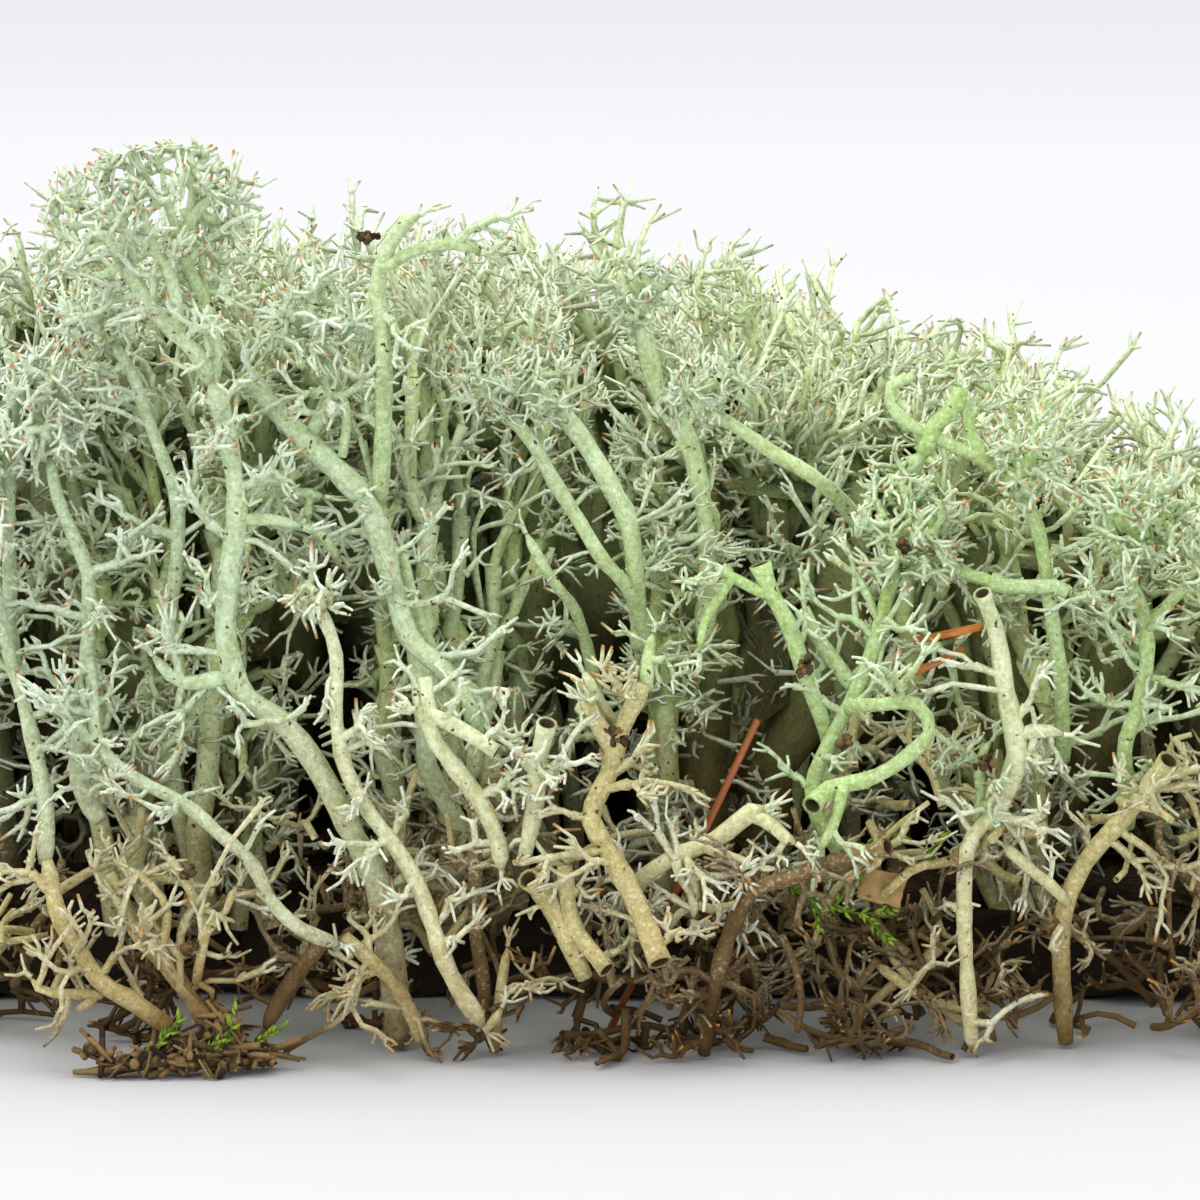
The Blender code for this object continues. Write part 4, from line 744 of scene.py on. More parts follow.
# single stalks of the open front, placed by the picture
frontStalks = {
    "tall_stalk": {"skin": "lichen_sage", "every": 4.5, "routes": [
        ((0.95, 0.66), [(399, 1045, -40.4), (392, 965, -41), (379, 887, -42.4), (350, 829, -43.5), (316, 765, -44),
                        (282, 722, -44.6), (243, 693), (226, 639), (229, 579, -44), (237, 514), (231, 457), (220, 406), (209, 376)]),
        ((0.6, 0.35), [(229, 677, -44.6), (181, 682), (150, 652)]),
        ((0.5, 0.3), [(234, 520, -44), (277, 520), (307, 529)])],
        "spurs": [((185, 680), (167, 619)), ((216, 680), (167, 739)), ((237, 484), (288, 477))]},
    "tall_left_arm": {"skin": "lichen_sage", "routes": [
        ((0.62, 0.4), [(209, 380, -44), (198, 356, -44.5), (172, 330, -45), (150, 305), (134, 279), (122, 258, -45.6),
                       (108, 243), (96, 231), (88, 216), (78, 203)]),
        ((0.5, 0.3), [(172, 331, -44.8), (177, 316), (175, 294), (167, 268), (156, 252), (146, 232, -45.4), (139, 208),
                      (132, 187), (129, 168), (133, 152)]),
        ((0.36, 0.25), [(134, 262, -45.6), (128, 234), (120, 210, -46.2), (111, 197), (104, 186)]),
        ((0.34, 0.25), [(112, 247, -45.6), (92, 248, -46.4), (72, 256), (54, 266)]),
        ((0.34, 0.25), [(124, 262, -45.6), (104, 275, -47), (84, 273)])],
        "heads": [((66, 201), -45.8, (1.7, 1.3, 1.2), 0), ((136, 148), -45.6, (1.4, 1.2, 1.1), 1),
                  ((148, 178), -44.8, (1.2, 1.2, 1.4), 1), ((103, 172), -46.4, (1.2, 1.2, 1.3), 2),
                  ((46, 256), -46.6, (1.7, 1.2, 1.4), 3), ((72, 268), -47.2, (1.5, 1.2, 1.3), 4),
                  ((88, 224), -44.8, (1.5, 1.2, 1.3), 0)],
        "spurs": [((153, 305), (148, 268)), ((137, 287), (96, 305)), ((141, 212), (156, 190)), ((122, 214), (132, 200)),
                  ((98, 233), (78, 236)), ((168, 270), (180, 252)), ((116, 203), (98, 212)), ((131, 172), (112, 158))]},
    "tall_right_arm": {"skin": "lichen_sage", "routes": [
        ((0.58, 0.36), [(212, 385, -44), (215, 358, -43.1), (211, 322, -42.6), (198, 288, -42.4), (184, 262), (181, 243),
                        (187, 227, -42.8), (197, 212), (210, 198), (228, 188)]),
        ((0.36, 0.26), [(181, 244, -42.4), (174, 222, -43), (167, 203), (164, 180), (160, 164)]),
        ((0.38, 0.26), [(187, 229, -42.6), (192, 206, -42), (194, 186), (188, 168), (182, 154)]),
        ((0.34, 0.26), [(209, 306, -42.6), (204, 282, -41.8), (202, 258), (208, 240)]),
        ((0.34, 0.26), [(200, 210, -42.8), (214, 222, -42), (230, 226)])],
        "heads": [((238, 184), -42.6, (1.7, 1.2, 1.1), 0), ((158, 156), -43, (1.3, 1.2, 1.2), 1),
                  ((190, 150), -42, (1.7, 1.2, 1.2), 2), ((214, 238), -41.6, (1.8, 1.4, 1.6), 3),
                  ((238, 230), -41.8, (1.5, 1.2, 1.4), 4), ((204, 178), -42.4, (1.4, 1.3, 1.3), 2),
                  ((224, 262), -41.4, (1.6, 1.3, 1.4), 3)],
        "spurs": [((186, 264), (166, 278)), ((199, 288), (176, 296)), ((166, 200), (150, 206)), ((194, 190), (212, 186)),
                  ((204, 272), (222, 282)), ((206, 300), (230, 300)), ((176, 226), (160, 236))]},
    "central_stalk": {"skin": "lichen_sage", "routes": [
        ((0.85, 0.6), [(362, 498, -42), (375, 520, -42), (384, 552), (398, 603), (411, 640, -42.5), (442, 668, -43),
                       (471, 706), (476, 749, -42.2), (473, 784)])],
        "spurs": [((384, 563), (442, 537)), ((398, 600), (455, 594)), ((435, 662), (488, 640)), ((457, 682), (510, 716))]},
    "hook_arm": {"skin": "lichen_green", "every": 7.0, "routes": [
        ((0.62, 0.5), [(379, 504, -40.4), (383, 440, -41.2), (384, 367, -42.6), (382, 329), (377, 286), (388, 248), (404, 224), (424, 213)]),
        ((0.45, 0.35), [(380, 270, -42.9), (417, 250, -42.3), (453, 244), (485, 253)])],
        "spurs": [((382, 302), (409, 345)), ((449, 247), (500, 220))]},
    "diagonal_arm": {"skin": "lichen_sage", "routes": [
        ((0.6, 0.85), [(249, 373, -40), (267, 400), (301, 436, -40.5), (336, 469, -41), (360, 494, -41.6), (370, 505)]),
        ((0.5, 0.4), [(308, 441, -40.5), (329, 392), (324, 352, -41.3)])],
        "heads": [((318, 315), -41, (3.8, 2.9, 3.6), 1)], "spurs": [((264, 396), (284, 356))]},
    "left_stalk": {"skin": "lichen_blue_green", "routes": [
        ((0.6, 0.42), [(100, 821, -43.6), (79, 785, -42.6), (78, 742, -42), (85, 689), (89, 604), (85, 564), (59, 502), (48, 451)])],
        "heads": [((40, 412), -42, (3.6, 3.2, 4.2), 0)],
        "spurs": [((87, 630), (41, 595)), ((84, 698), (31, 687)), ((87, 579), (134, 551))]},
    "second_left_stalk": {"skin": "lichen_blue_green", "routes": [
        ((0.5, 0.4), [(175, 659, -43.3), (169, 622, -41.4), (177, 559, -40.6), (176, 498), (156, 440), (144, 410), (131, 371), (109, 338)])],
        "heads": [((100, 320), -40.6, (3, 2.4, 2.1), 0)], "spurs": [((153, 434), (114, 410)), ((175, 538), (135, 518))]},
    "left_edge_stalk": {"skin": "lichen_blue_green", "routes": [
        ((0.6, 0.4), [(45, 864, -46.4), (45, 803, -45), (27, 716, -43.4), (8, 651), (-8, 579), (-18, 522), (-33, 482, -42.6)])],
        "heads": [((-38, 476), -42.4, (3.8, 3.4, 4.2), 0)], "spurs": [((14, 671), (-32, 639)), ((44, 787), (-4, 810))]},
    "leaning_stalk": {"skin": "lichen_blue_green", "routes": [
        ((0.42, 0.5), [(89, 657, -43.4), (93, 697, -45.4), (97, 738, -46.2), (123, 771), (186, 805, -47), (217, 832, -47.5),
                       (250, 861, -48), (273, 903), (301, 929), (342, 946, -46.6)])],
        "spurs": [((97, 735), (46, 709)), ((147, 789), (123, 832)), ((237, 849), (276, 820))]},
    "outer_straw_stalk": {"skin": "lichen_straw", "routes": [
        ((0.55, 0.65), [(47, 860, -46.7), (57, 910, -47.4), (71, 939, -48), (101, 982, -48.5), (132, 1001), (179, 1035)])],
        "spurs": [((86, 963), (35, 979)), ((50, 889), (5, 859))]},
    "inner_straw_stalk": {"skin": "lichen_straw", "routes": [
        ((0.5, 0.6), [(109, 873, -44.6), (126, 908), (142, 940, -45.3), (177, 978, -45.8), (212, 1031, -47.2)])],
        "heads": [((106, 852), -44.5, (1.6, 1.2, 1.2), 0)], "spurs": [((165, 970), (203, 923)), ((203, 926), (227, 874))]},
    "brown_stalk": {"skin": "lichen_brown", "routes": [
        ((0.55, 0.6), [(326, 940, -44.6), (307, 961), (286, 990), (262, 1034, -46.4)])], "spurs": [((301, 966), (262, 946))]},
    "pale_stalk": {"skin": "lichen_pale", "routes": [
        ((0.45, 0.62), [(320, 607, -45.2), (336, 655), (336, 715), (344, 763), (365, 807), (396, 848), (420, 890),
                        (444, 960, -46), (466, 1001), (486, 1030)])],
        "heads": [((317, 593), -45.6, (2.1, 1.9, 2), -1)],
        "spurs": [((337, 667), (292, 698)), ((338, 742), (379, 732)), ((438, 938), (477, 916))]},
    "centre_tube": {"skin": "lichen_pale", "routes": [
        ((0.62, 0.58), [(424, 677, -44.5), (431, 732, -45), (452, 764), (480, 801), (498, 843), (502, 875)]),
        ((0.55, 0.5), [(425, 711, -45), (464, 731, -46), (497, 752, -46.6), "open"])],
        "spurs": [((474, 794), (516, 781)), ((425, 723), (391, 702))]},
    "left_foot_stalk": {"skin": "lichen_straw", "routes": [
        ((0.5, 0.55), [(345, 937, -45.5), (369, 959, -44.8), (392, 981, -44), (415, 1021, -43.4), (427, 1053)])],
        "spurs": [((379, 967), (334, 988)), ((340, 986), (319, 1021)), ((409, 1011), (451, 1038))]},
    "right_foot_stalk": {"skin": "lichen_brown", "routes": [
        ((0.48, 0.5), [(473, 792, -41.8), (475, 842), (475, 902), (477, 940), (484, 988), (490, 1049)])],
        "spurs": [((475, 865), (513, 831)), ((481, 968), (452, 971))]},
    "upright_tube": {"skin": "lichen_pale", "routes": [
        ((0.6, 0.66), [(525, 855, -45.6), (535, 806, -45), (537, 769), (547, 723, -46.6), "open"])],
        "spurs": [((535, 791), (573, 763)), ((529, 824), (507, 868))]},
    "long_broken_tube": {"skin": "lichen_straw", "routes": [
        ((0.62, 0.75), [(644, 685, -44), (624, 724, -44.5), (609, 773, -45), (594, 803, -45.5), (592, 823, -46),
                        (617, 866, -46.5), (639, 909, -47), (660, 963, -49), "open"]),
        ((0.6, 0.5), [(614, 755, -44.8), (591, 710), (582, 686)])],
        "spurs": [((594, 810), (550, 796)), ((612, 767), (654, 751))]},
    "forked_piece": {"skin": "lichen_straw", "routes": [
        ((0.62, 0.7), [(585, 978, -45.4), (567, 938, -45.6), (549, 903), (528, 879, -47.6), "open"]),
        ((0.6, 0.55), [(565, 866, -45.8), (568, 903), (577, 932), (607, 970, -47.6), "open"])],
        "spurs": [((561, 891), (598, 862))]},
    "long_green_stalk": {"skin": "lichen_green", "routes": [
        ((0.58, 0.48), [(891, 908, -28.6), (888, 908, -33), (857, 875, -38), (817, 818, -40.6), (813, 782), (830, 741),
                        (860, 682), (876, 639), (887, 596), (899, 559)])],
        "heads": [((911, 530), -41.4, (3.8, 3, 4), 0)],
        "spurs": [((848, 704), (882, 675)), ((884, 606), (846, 568)), ((821, 760), (776, 752))]},
    "curved_green_branch": {"skin": "lichen_green", "every": 6.0, "routes": [
        ((0.4, 0.6), [(849, 711, -42.5), (853, 706, -44.4), (878, 705, -45.7), (914, 703), (930, 731), (900, 762),
                      (866, 780), (829, 788), (812, 806, -47.4), "open"]),
        ((0.45, 0.3), [(844, 783, -46), (834, 824), (817, 855, -46.6)])],
        "spurs": [((835, 818), (854, 862)), ((893, 704), (876, 678))]},
    "lying_brown_stalk": {"skin": "lichen_brown", "routes": [
        ((0.5, 0.6), [(704, 1054, -43.2), (714, 991, -44.6), (729, 935, -45.6), (753, 891), (791, 878), (830, 863), (888, 847, -47.6), "open"])],
        "spurs": [((756, 888), (727, 858)), ((796, 876), (805, 916)), ((706, 1036), (672, 1046)), ((708, 1020), (746, 1036)),
                  ((712, 1000), (678, 984)), ((716, 980), (752, 990))]},
    "twig_cluster": {"skin": "lichen_pale", "routes": [
        ((0.5, 0.62), [(614, 910, -28), (617, 913, -33), (630, 902, -39.4), (642, 879, -43), (676, 856, -44.6), (715, 840),
                       (751, 812, -45.4), (768, 806)]),
        ((0.42, 0.3), [(681, 852, -44.4), (694, 887), (693, 924, -45)]),
        ((0.55, 0.4), [(748, 814, -45.4), (768, 822), (788, 840, -46), (800, 846)]),
        ((0.4, 0.3), [(700, 846, -44.8), (735, 858, -45.4), (758, 866)])],
        "spurs": [((666, 858), (660, 822)), ((694, 900), (732, 921)), ((651, 869), (612, 891)), ((735, 858), (752, 884))]},
    "open_tube": {"skin": "lichen_green", "every": 5.0, "routes": [
        ((0.5, 0.62), [(836, 770, -37), (821, 716, -40.6), (805, 676, -41.4), (789, 626), (772, 595), (760, 564), "open"]),
        ((0.42, 0.3), [(774, 599, -41.6), (741, 582), (714, 567)]),
        ((0.35, 0.25), [(732, 579, -41.8), (705, 621), (699, 658, -42.6)])],
        "spurs": [((792, 638), (825, 611))]},
    "curled_stalk": {"skin": "lichen_green", "every": 5.0, "routes": [
        ((0.55, 0.4), [(1064, 760, -35.5), (1062, 715, -38.0), (1060, 671, -39.4), (1052, 619, -39.8), (1046, 574), (1038, 530), (1023, 502), (999, 471),
                       (958, 448), (925, 433), (896, 414), (889, 394), (896, 381), (922, 376)])],
        "heads": [((1028, 462), -40, (3.3, 2.9, 3.3), -1)],
        "spurs": [((968, 451), (963, 397)), ((929, 435), (959, 481)), ((1043, 551), (1084, 540))]},
    "open_stalk": {"skin": "lichen_pale", "routes": [
        ((0.72, 0.6), [(986, 827, -43), (1007, 789), (1017, 753), (1012, 721), (1004, 682), (997, 635), (982, 593, -44.6), "open"]),
        ((0.55, 0.4), [(1014, 736, -43), (1041, 730), (1068, 735)]),
        ((0.55, 0.5), [(995, 812, -43), (969, 844, -43.8), (964, 901), (967, 973), (972, 1053, -43)])],
        "spurs": [((1004, 676), (958, 659)), ((1014, 721), (1054, 683)), ((998, 810), (1046, 838)), ((1043, 836), (1067, 879))]},
    "far_right_stalk": {"skin": "lichen_green", "routes": [
        ((0.6, 0.48), [(1128, 826, -35.5), (1126, 781, -37.8), (1125, 744, -39), (1138, 706), (1147, 659), (1143, 610), (1130, 579), (1135, 552)]),
        ((0.42, 0.35), [(1145, 629, -39), (1178, 594), (1205, 574)])],
        "heads": [((1138, 519), -40, (4, 3, 3.8), 0), ((1227, 557), -40, (3.4, 3, 3.6), 1)],
        "spurs": [((1144, 676), (1103, 651)), ((1144, 670), (1186, 683))]},
    "far_right_broken_stalk": {"skin": "lichen_straw", "routes": [
        ((0.6, 0.66), [(1066, 1043, -39.8), (1062, 984, -40.4), (1063, 916, -41), (1085, 863), (1119, 823), (1144, 793), (1169, 760, -42.8), "open"])],
        "spurs": [((1106, 837), (1154, 859)), ((1091, 854), (1053, 826)), ((1151, 857), (1187, 889))]},
}
stalkLook = {
    "seed": 31,
    "step": 1.1,             # spacing of the rings along a stalk
    "sides": 10,
    "lumps": 0.065,
    "headCell": 1.5,        # one tip in each cell of this size, in a tassel
    "branchletEvery": 2.9,   # spacing of the small branchlets along a stalk
    "branchletReach": (1.6, 4.2),
}


def addStalk(bundle, route, widths, rng, tint, end="point"):
    path = smoothRoute(route, stalkLook["step"])
    radii = np.linspace(*widths, len(path)) * (1 + rng.normal(0, stalkLook["lumps"], len(path)))
    radii[0] *= 0.8
    if end == "hollow":
        radii[-1] *= 1.14
    if end == "point":
        radii[-1] *= 0.55
    addTubes(bundle, path[None], radii[None], stalkLook["sides"], end, tint)
    return path


def addBranchlets(path, rng, forks, ends, every):
    span = np.linalg.norm(np.diff(path, axis=0), axis=1).sum()
    for _ in range(rng.poisson(span / every)):
        spot = rng.integers(1, len(path) - 1)
        along = normalised(path[spot + 1] - path[spot - 1])
        out = normalised(normalised(np.cross(along, rng.normal(0, 1, 3))) + [0, -0.25, 0.3])
        addBranchlet(path[spot], out, rng.uniform(*stalkLook["branchletReach"]), rng, forks, ends)


def headTips(centre, size, cell, rng):  # tips through a tassel, more of them near its outside
    count = int(np.prod(size) * 4.2 / cell**3 * 3)
    outward = normalised(rng.normal(0, 1, (count, 3)))
    tips = outward * rng.uniform(0.25, 1.0, (count, 1)) ** 0.6 * np.array(size) + centre
    facing = normalised(0.7 * outward + rng.normal(0, 0.45, (count, 3)) + [0, 0, 0.15])
    _, first = np.unique(np.floor(tips / cell).astype(int), axis=0, return_index=True)
    return np.hstack([tips, facing])[np.sort(first)]


def makeFrontStalk(stalk, rng, detail="near"):
    bundle, forks, ends, paths = {}, [], [], []
    tint = 0.5 + rng.normal(0, 0.08)
    for widths, points in stalk["routes"]:
        opened = points[-1] == "open"
        route = routeInPicture([p for p in points if p != "open"])
        paths.append(addStalk(bundle, route, widths, rng, tint, "hollow" if opened else "point"))
        if not opened:  # a few prongs at the top
            top, way = paths[-1][-1], normalised(paths[-1][-1] - paths[-1][-3])
            ends.append((top - 0.3 * way, way, top + 0.4 * way, way))
    for (u, v), depth, size, arm in stalk.get("heads", []):
        centre = placeInPicture(u, v, depth)
        start = paths[arm][-1] if arm >= 0 else min(paths[0], key=lambda p: ((p - centre) ** 2).sum())
        branchOut(start, normalised(centre - start), headTips(centre, size, stalkLook["headCell"], rng),
                  rng, forks, ends, 0.2)
    for base, tip in stalk.get("spurs", []):
        spots = np.vstack(paths)
        spot = spots[np.argmin(((spots - placeInPicture(*base, spots[0][1])) ** 2)[:, [0, 2]].sum(1))]
        target = placeInPicture(*tip, spot[1] - 0.7)
        addBranchlet(spot, normalised(target - spot), np.linalg.norm(target - spot), rng, forks, ends)
    for path in paths:
        addBranchlets(path, rng, forks, ends, stalk.get("every", stalkLook["branchletEvery"]))
    addGrowth(bundle, forks, ends, detail, rng, tint)
    return bundle


rng = np.random.default_rng(stalkLook["seed"])
for name, stalk in frontStalks.items():
    makePiece(name + "_lichen", makeFrontStalk(stalk, rng), materials[stalk["skin"]], [name])
print("front stalks done,", sum(made.values()), "triangles so far")

# stalks between the tufts and the open front, also placed by the picture
innerStalks = {
    "sage": {"skin": "lichen_sage", "every": 3.6, "routes": [
        ((0.66, 0.6), [(640, 650, -34), (636, 585, -36.5), (629, 524, -38), (609, 483), (583, 440), (552, 400)]),
        ((0.5, 0.5), [(650, 650, -34), (630, 592, -37), (603, 560, -38.5), (578, 519), (552, 478), (532, 442), (499, 404)]),
        ((0.7, 0.62), [(704, 640, -32), (708, 560, -34), (700, 488), (685, 432), (657, 389), (640, 310)]),
        ((0.6, 0.45), [(870, 540, -34), (840, 500, -37), (808, 473, -39.5), (772, 452), (736, 427), (700, 407)]),
        ((0.48, 0.42), [(647, 690, -42.5), (648, 655, -41), (655, 628)]),
        ((0.5, 0.35), [(612, 770, -27), (590, 660, -33), (575, 610, -36), (558, 588, -38), (540, 560), (524, 529)]),
        ((0.5, 0.4), [(479, 695, -39), (443, 667, -40.5), (422, 629), (410, 590), (402, 547)]),
        ((0.36, 0.3), [(339, 561, -41), (319, 533, -42.5), (281, 522), (242, 517)]),
        ((0.36, 0.3), [(393, 442, -41), (372, 419), (349, 414)]),
        ((0.36, 0.3), [(342, 457, -41), (347, 419), (339, 381)])],
        "heads": [((530, 390), -39, (3.6, 2.4, 2.6), 0), ((480, 385), -39.5, (2.6, 2.0, 2.2), 1), ((708, 385), -40, (3.2, 2.4, 2.4), 3), ((632, 290), -35, (3.0, 2.6, 3.0), 2)]},
    "blue": {"skin": "lichen_blue_green", "every": 3.2, "routes": [
        ((0.3, 0.36), [(163, 749, -43), (184, 729), (209, 693)]),
        ((0.32, 0.3), [(168, 660, -42), (163, 604)]),
        ((0.5, 0.4), [(20, 690, -41.5), (10, 630, -40.5), (10, 579), (8, 502), (13, 398), (15, 376), (3, 342)])]},
    "green": {"skin": "lichen_green", "every": 3.4, "routes": [
        ((0.3, 0.36), [(242, 505, -41), (281, 492), (329, 497)]),
        ((0.55, 0.52), [(858, 693, -40), (842, 672), (817, 637), (802, 610, -39.4), "open"]),
        ((0.45, 0.35), [(989, 462, -40), (973, 439, -39.5), (966, 414), (961, 388)]),
        ((0.36, 0.32), [(1106, 603, -41.4), (1068, 592, -41)]),
        ((0.4, 0.3), [(976, 823, -42), (981, 793, -41.5), (979, 760), (994, 737)])],
        "heads": [((897, 484), -39.8, (2.2, 2.2, 2.4), 2), ((936, 558), -39.8, (2.2, 2.2, 2.2), 3)]},
    "straw": {"skin": "lichen_straw", "every": 3.0, "routes": [
        ((0.42, 0.3), [(102, 995, -48.3), (46, 992, -47.6), (28, 974)]),
        ((0.3, 0.36), [(77, 1010, -48.4), (102, 995)]),
        ((0.34, 0.26), [(182, 992, -46.6), (169, 966), (162, 950), (166, 928), (167, 908), (158, 892), (140, 876), (124, 864)]),
        ((0.3, 0.24), [(163, 952, -46.6), (152, 936), (144, 927)]),
        ((0.36, 0.28), [(196, 984, -46.8), (200, 960), (205, 936), (202, 914), (194, 898), (184, 880), (176, 866), (164, 850)]),
        ((0.3, 0.24), [(205, 936, -46.8), (215, 922), (226, 911), (231, 896), (240, 881)]),
        ((0.28, 0.24), [(197, 982, -46.8), (209, 988), (216, 999), (213, 1007)]),
        ((0.4, 0.34), [(494, 1052, -42.4), (502, 981, -43), (509, 942)]),
        ((0.35, 0.4), [(864, 1010, -40.5), (905, 975), (950, 940)]),
        ((0.4, 0.35), [(975, 1030, -40.4), (915, 985, -41), (880, 935)]),
        ((0.4, 0.35), [(990, 1010, -41), (930, 1000, -41.5), (870, 960)])]},
    "pale": {"skin": "lichen_pale", "every": 3.0, "routes": [
        ((0.45, 0.4), [(616, 725, -43), (598, 700, -43.6), (581, 667)]),
        ((0.36, 0.3), [(486, 1030, -46), (496, 1018, -45.6), (504, 1004)]),
        ((0.3, 0.36), [(669, 928, -41.5), (689, 905), (720, 910), (743, 897)]),
        ((0.4, 0.45), [(984, 823, -41.5), (999, 803), (1017, 780, -42), "open"]),
        ((0.42, 0.36), [(1068, 905, -41.6), (1053, 887, -42.4), (1030, 869), (999, 841)])]},
}
for name, stalk in innerStalks.items():
    makePiece("inner_stalks_" + name, makeFrontStalk(stalk, rng, "front"), materials[stalk["skin"]])
print("inner stalks done,", sum(made.values()), "triangles so far")

# dead, brown and broken stalks tangled under the clump's front, in boxes of millimetres, and round its rim
tangle = {
    "seed": 12,
    "length": (4.0, 10.0),
    "width": (0.18, 0.36),
    "every": 4.6,
    "zones": {
        "brown": ("lichen_brown", [((8, -42.5, 0.8), (62, -30, 10), 66), ((-14, -41.5, 0.8), (10, -30, 11), 26),
                                   ((-62, -41, 1.0), (-14, -32, 9), 20), ((-64, -40, 1.0), (-46, -33, 10), 14),
                                   ((-3, -44, 0.8), (9, -40, 7), 14), ((17, -43.5, 0.8), (27, -37, 5), 11)]),
        "straw": ("lichen_straw", [((14, -43.5, 7), (62, -35, 19), 36), ((-40, -42, 6), (8, -35, 16), 16),
                                   ((44, -41, 1.0), (64, -33, 12), 16), ((-62, -42, 1.0), (-46, -34, 12), 12)]),
    },
    "rim": {"brown": 88, "straw": 42},
    "rimHeight": (0.8, 9.0),
    "rimShare": (0.84, 0.97),   # how far out from the middle, as a share of the outline
    "openFront": 46,            # half width of the front that has zones of its own
    "outlinePower": 2.4,
}


def outlineReach(turn):  # distance from the middle to the clump's rounded outline
    power = tangle["outlinePower"]
    across = abs(math.cos(turn) / inner[1][0]) ** power + abs(math.sin(turn) / inner[1][1]) ** power
    return across ** (-1 / power)


def rimSpot(rng):
    while True:
        turn = rng.uniform(0, math.tau)
        reach = outlineReach(turn) * rng.uniform(*tangle["rimShare"])
        x, y = math.cos(turn) * reach, math.sin(turn) * reach
        if y > 0 or abs(x) > tangle["openFront"]:
            return np.array([x, y, rng.uniform(*tangle["rimHeight"])])


def zoneSpot(low, high, rng):
    spot = rng.uniform(low, high)
    turn = math.atan2(spot[1], spot[0])
    spot[:2] *= min(1, outlineReach(turn) * tangle["rimShare"][1] / np.hypot(*spot[:2]))
    return spot


def addTangled(bundle, start, rng, forks, ends):
    way = normalised(rng.normal(0, 1, 3) * [1, 0.5, 0.45])
    length = rng.uniform(*tangle["length"])
    route = [start]
    for _ in range(3):
        way = normalised(way + rng.normal(0, 0.5, 3))
        route.append(route[-1] + way * length / 3)
    route = np.clip(np.array(route), inner[0] * [1, 1, 0] + [1, 4, 0.5], inner[1] - [1, 1, 0])
    width = rng.uniform(*tangle["width"])
    path = smoothRoute(route, 1.3)
    radii = width * np.linspace(1.1, 0.85, len(path)) * rng.normal(1, 0.06, len(path))
    tint = rng.uniform(0.25, 0.75)
    addTubes(bundle, path[None], radii[None], 7, "hollow" if rng.random() < 0.5 else "flat", tint)
    addBranchlets(path, rng, forks, ends, tangle["every"])


rng = np.random.default_rng(tangle["seed"])
for name, (skin, zones) in tangle["zones"].items():
    bundle, forks, ends = {}, [], []
    starts = [zoneSpot(low, high, rng) for low, high, count in zones for _ in range(count)]
    starts += [rimSpot(rng) for _ in range(tangle["rim"][name])]
    for start in starts:
        addTangled(bundle, start, rng, forks, ends)
    addGrowth(bundle, forks, ends, "front", rng, 0.5)
    makePiece("bottom_tangle_" + name, bundle, materials[skin])
print("bottom tangle done,", sum(made.values()), "triangles so far")

# the base: matted litter, with bits of twig, crumbs and moss on it
litter = {
    "seed": 8,
    "lump": 0.9,            # height of the lumps of the mat
    "arches": 1.2,          # height of the hollows under the mat's front
    "recess": 4.0,          # how far the mat's front edge lies behind the solid's
    "twigs": 560,
    "crumbs": 420,
    "twigLength": (1.2, 5.5),
    "twigWidth": (0.09, 0.28),
    "crumbSize": (0.2, 0.7),
    "rim": 0.45,            # how far out the twigs and crumbs begin, nothing of them is seen under the tufts
}


def addBits(bundle, spots, normals, rng, twigShare, tints=(0.1, 0.95)):  # twigs and crumbs lying at spots
    tangent = normalised(np.cross(normals, rng.normal(0, 1, normals.shape)))
    isTwig = rng.random(len(spots)) < twigShare
    for picked, lengths, widths, bulge, shape in (
            (isTwig, litter["twigLength"], litter["twigWidth"], (0.9, 1.0, 0.7), 4),
            (~isTwig, litter["crumbSize"], litter["crumbSize"], (0.45, 0.6, 0.35), 5)):
        count = picked.sum()
        way = normalised(tangent[picked] + normals[picked] * rng.normal(0.1, 0.3, (count, 1)))
        half = way * rng.uniform(*lengths, (count, 1)) / 2
        sag = normals[picked] * rng.normal(0, 0.12, (count, 1)) * np.linalg.norm(half, axis=1, keepdims=True)
        middle = spots[picked] + normals[picked] * 0.15
        paths = np.stack([middle - half, middle + sag, middle + half], 1)
        width = rng.uniform(*widths, (count, 1)) * np.array(bulge)
        addTubes(bundle, np.clip(paths, inner[0] * [1, 1, 0] + [0, 0, 0.25], inner[1]), width, shape, "closed",
                 rng.uniform(*tints, count))


def spotsOn(places, faces, count, rng, rim=0.0):  # random places towards the rim, on faces that don't look down
    normals, area = faceNormals(places, faces)
    offset = np.abs(places[faces].mean(1)[:, :2]) / inner[1][:2]
    area = area * (normals[:, 2] > -0.2) * ((offset**2.4).sum(1) > rim)
    face = rng.choice(len(faces), count, p=area / area.sum())
    u, v = rng.random(count), rng.random(count)
    flip = u + v > 1
    u[flip], v[flip] = 1 - u[flip], 1 - v[flip]
    a, b, c = (places[faces[face, i]] for i in range(3))
    return a + (b - a) * u[:, None] + (c - a) * v[:, None], normals[face]


def addMoss(bundle, route, rng, leafLength=0.75, every=0.16):  # a feather-moss shoot: stem with small pointed leaves
    path = smoothRoute(route, 0.8)
    addTubes(bundle, path[None], np.linspace(0.14, 0.07, len(path))[None], 5, "point", 0.2)
    count = int(np.linalg.norm(np.diff(path, axis=0), axis=1).sum() / every)
    place = np.sort(rng.uniform(0, len(path) - 1.01, count))
    low = place.astype(int)
    start = path[low] + (path[low + 1] - path[low]) * (place - low)[:, None]
    along = normalised(path[low + 1] - path[low])
    out = normalised(np.cross(along, rng.normal(0, 1, (count, 3))))
    length = rng.uniform(0.6, 1.1, (count, 1)) * leafLength
    middle = start + (along * 0.5 + out * 0.7) * length * 0.5
    end = start + (along * 0.9 + out * 0.8) * length
    end[:, 2] = np.maximum(end[:, 2], 0.15)
    addTubes(bundle, np.stack([start, middle, end], 1), np.array([0.07, 0.15, 0.03]), 4, "point", rng.uniform(0.3, 0.9, count))


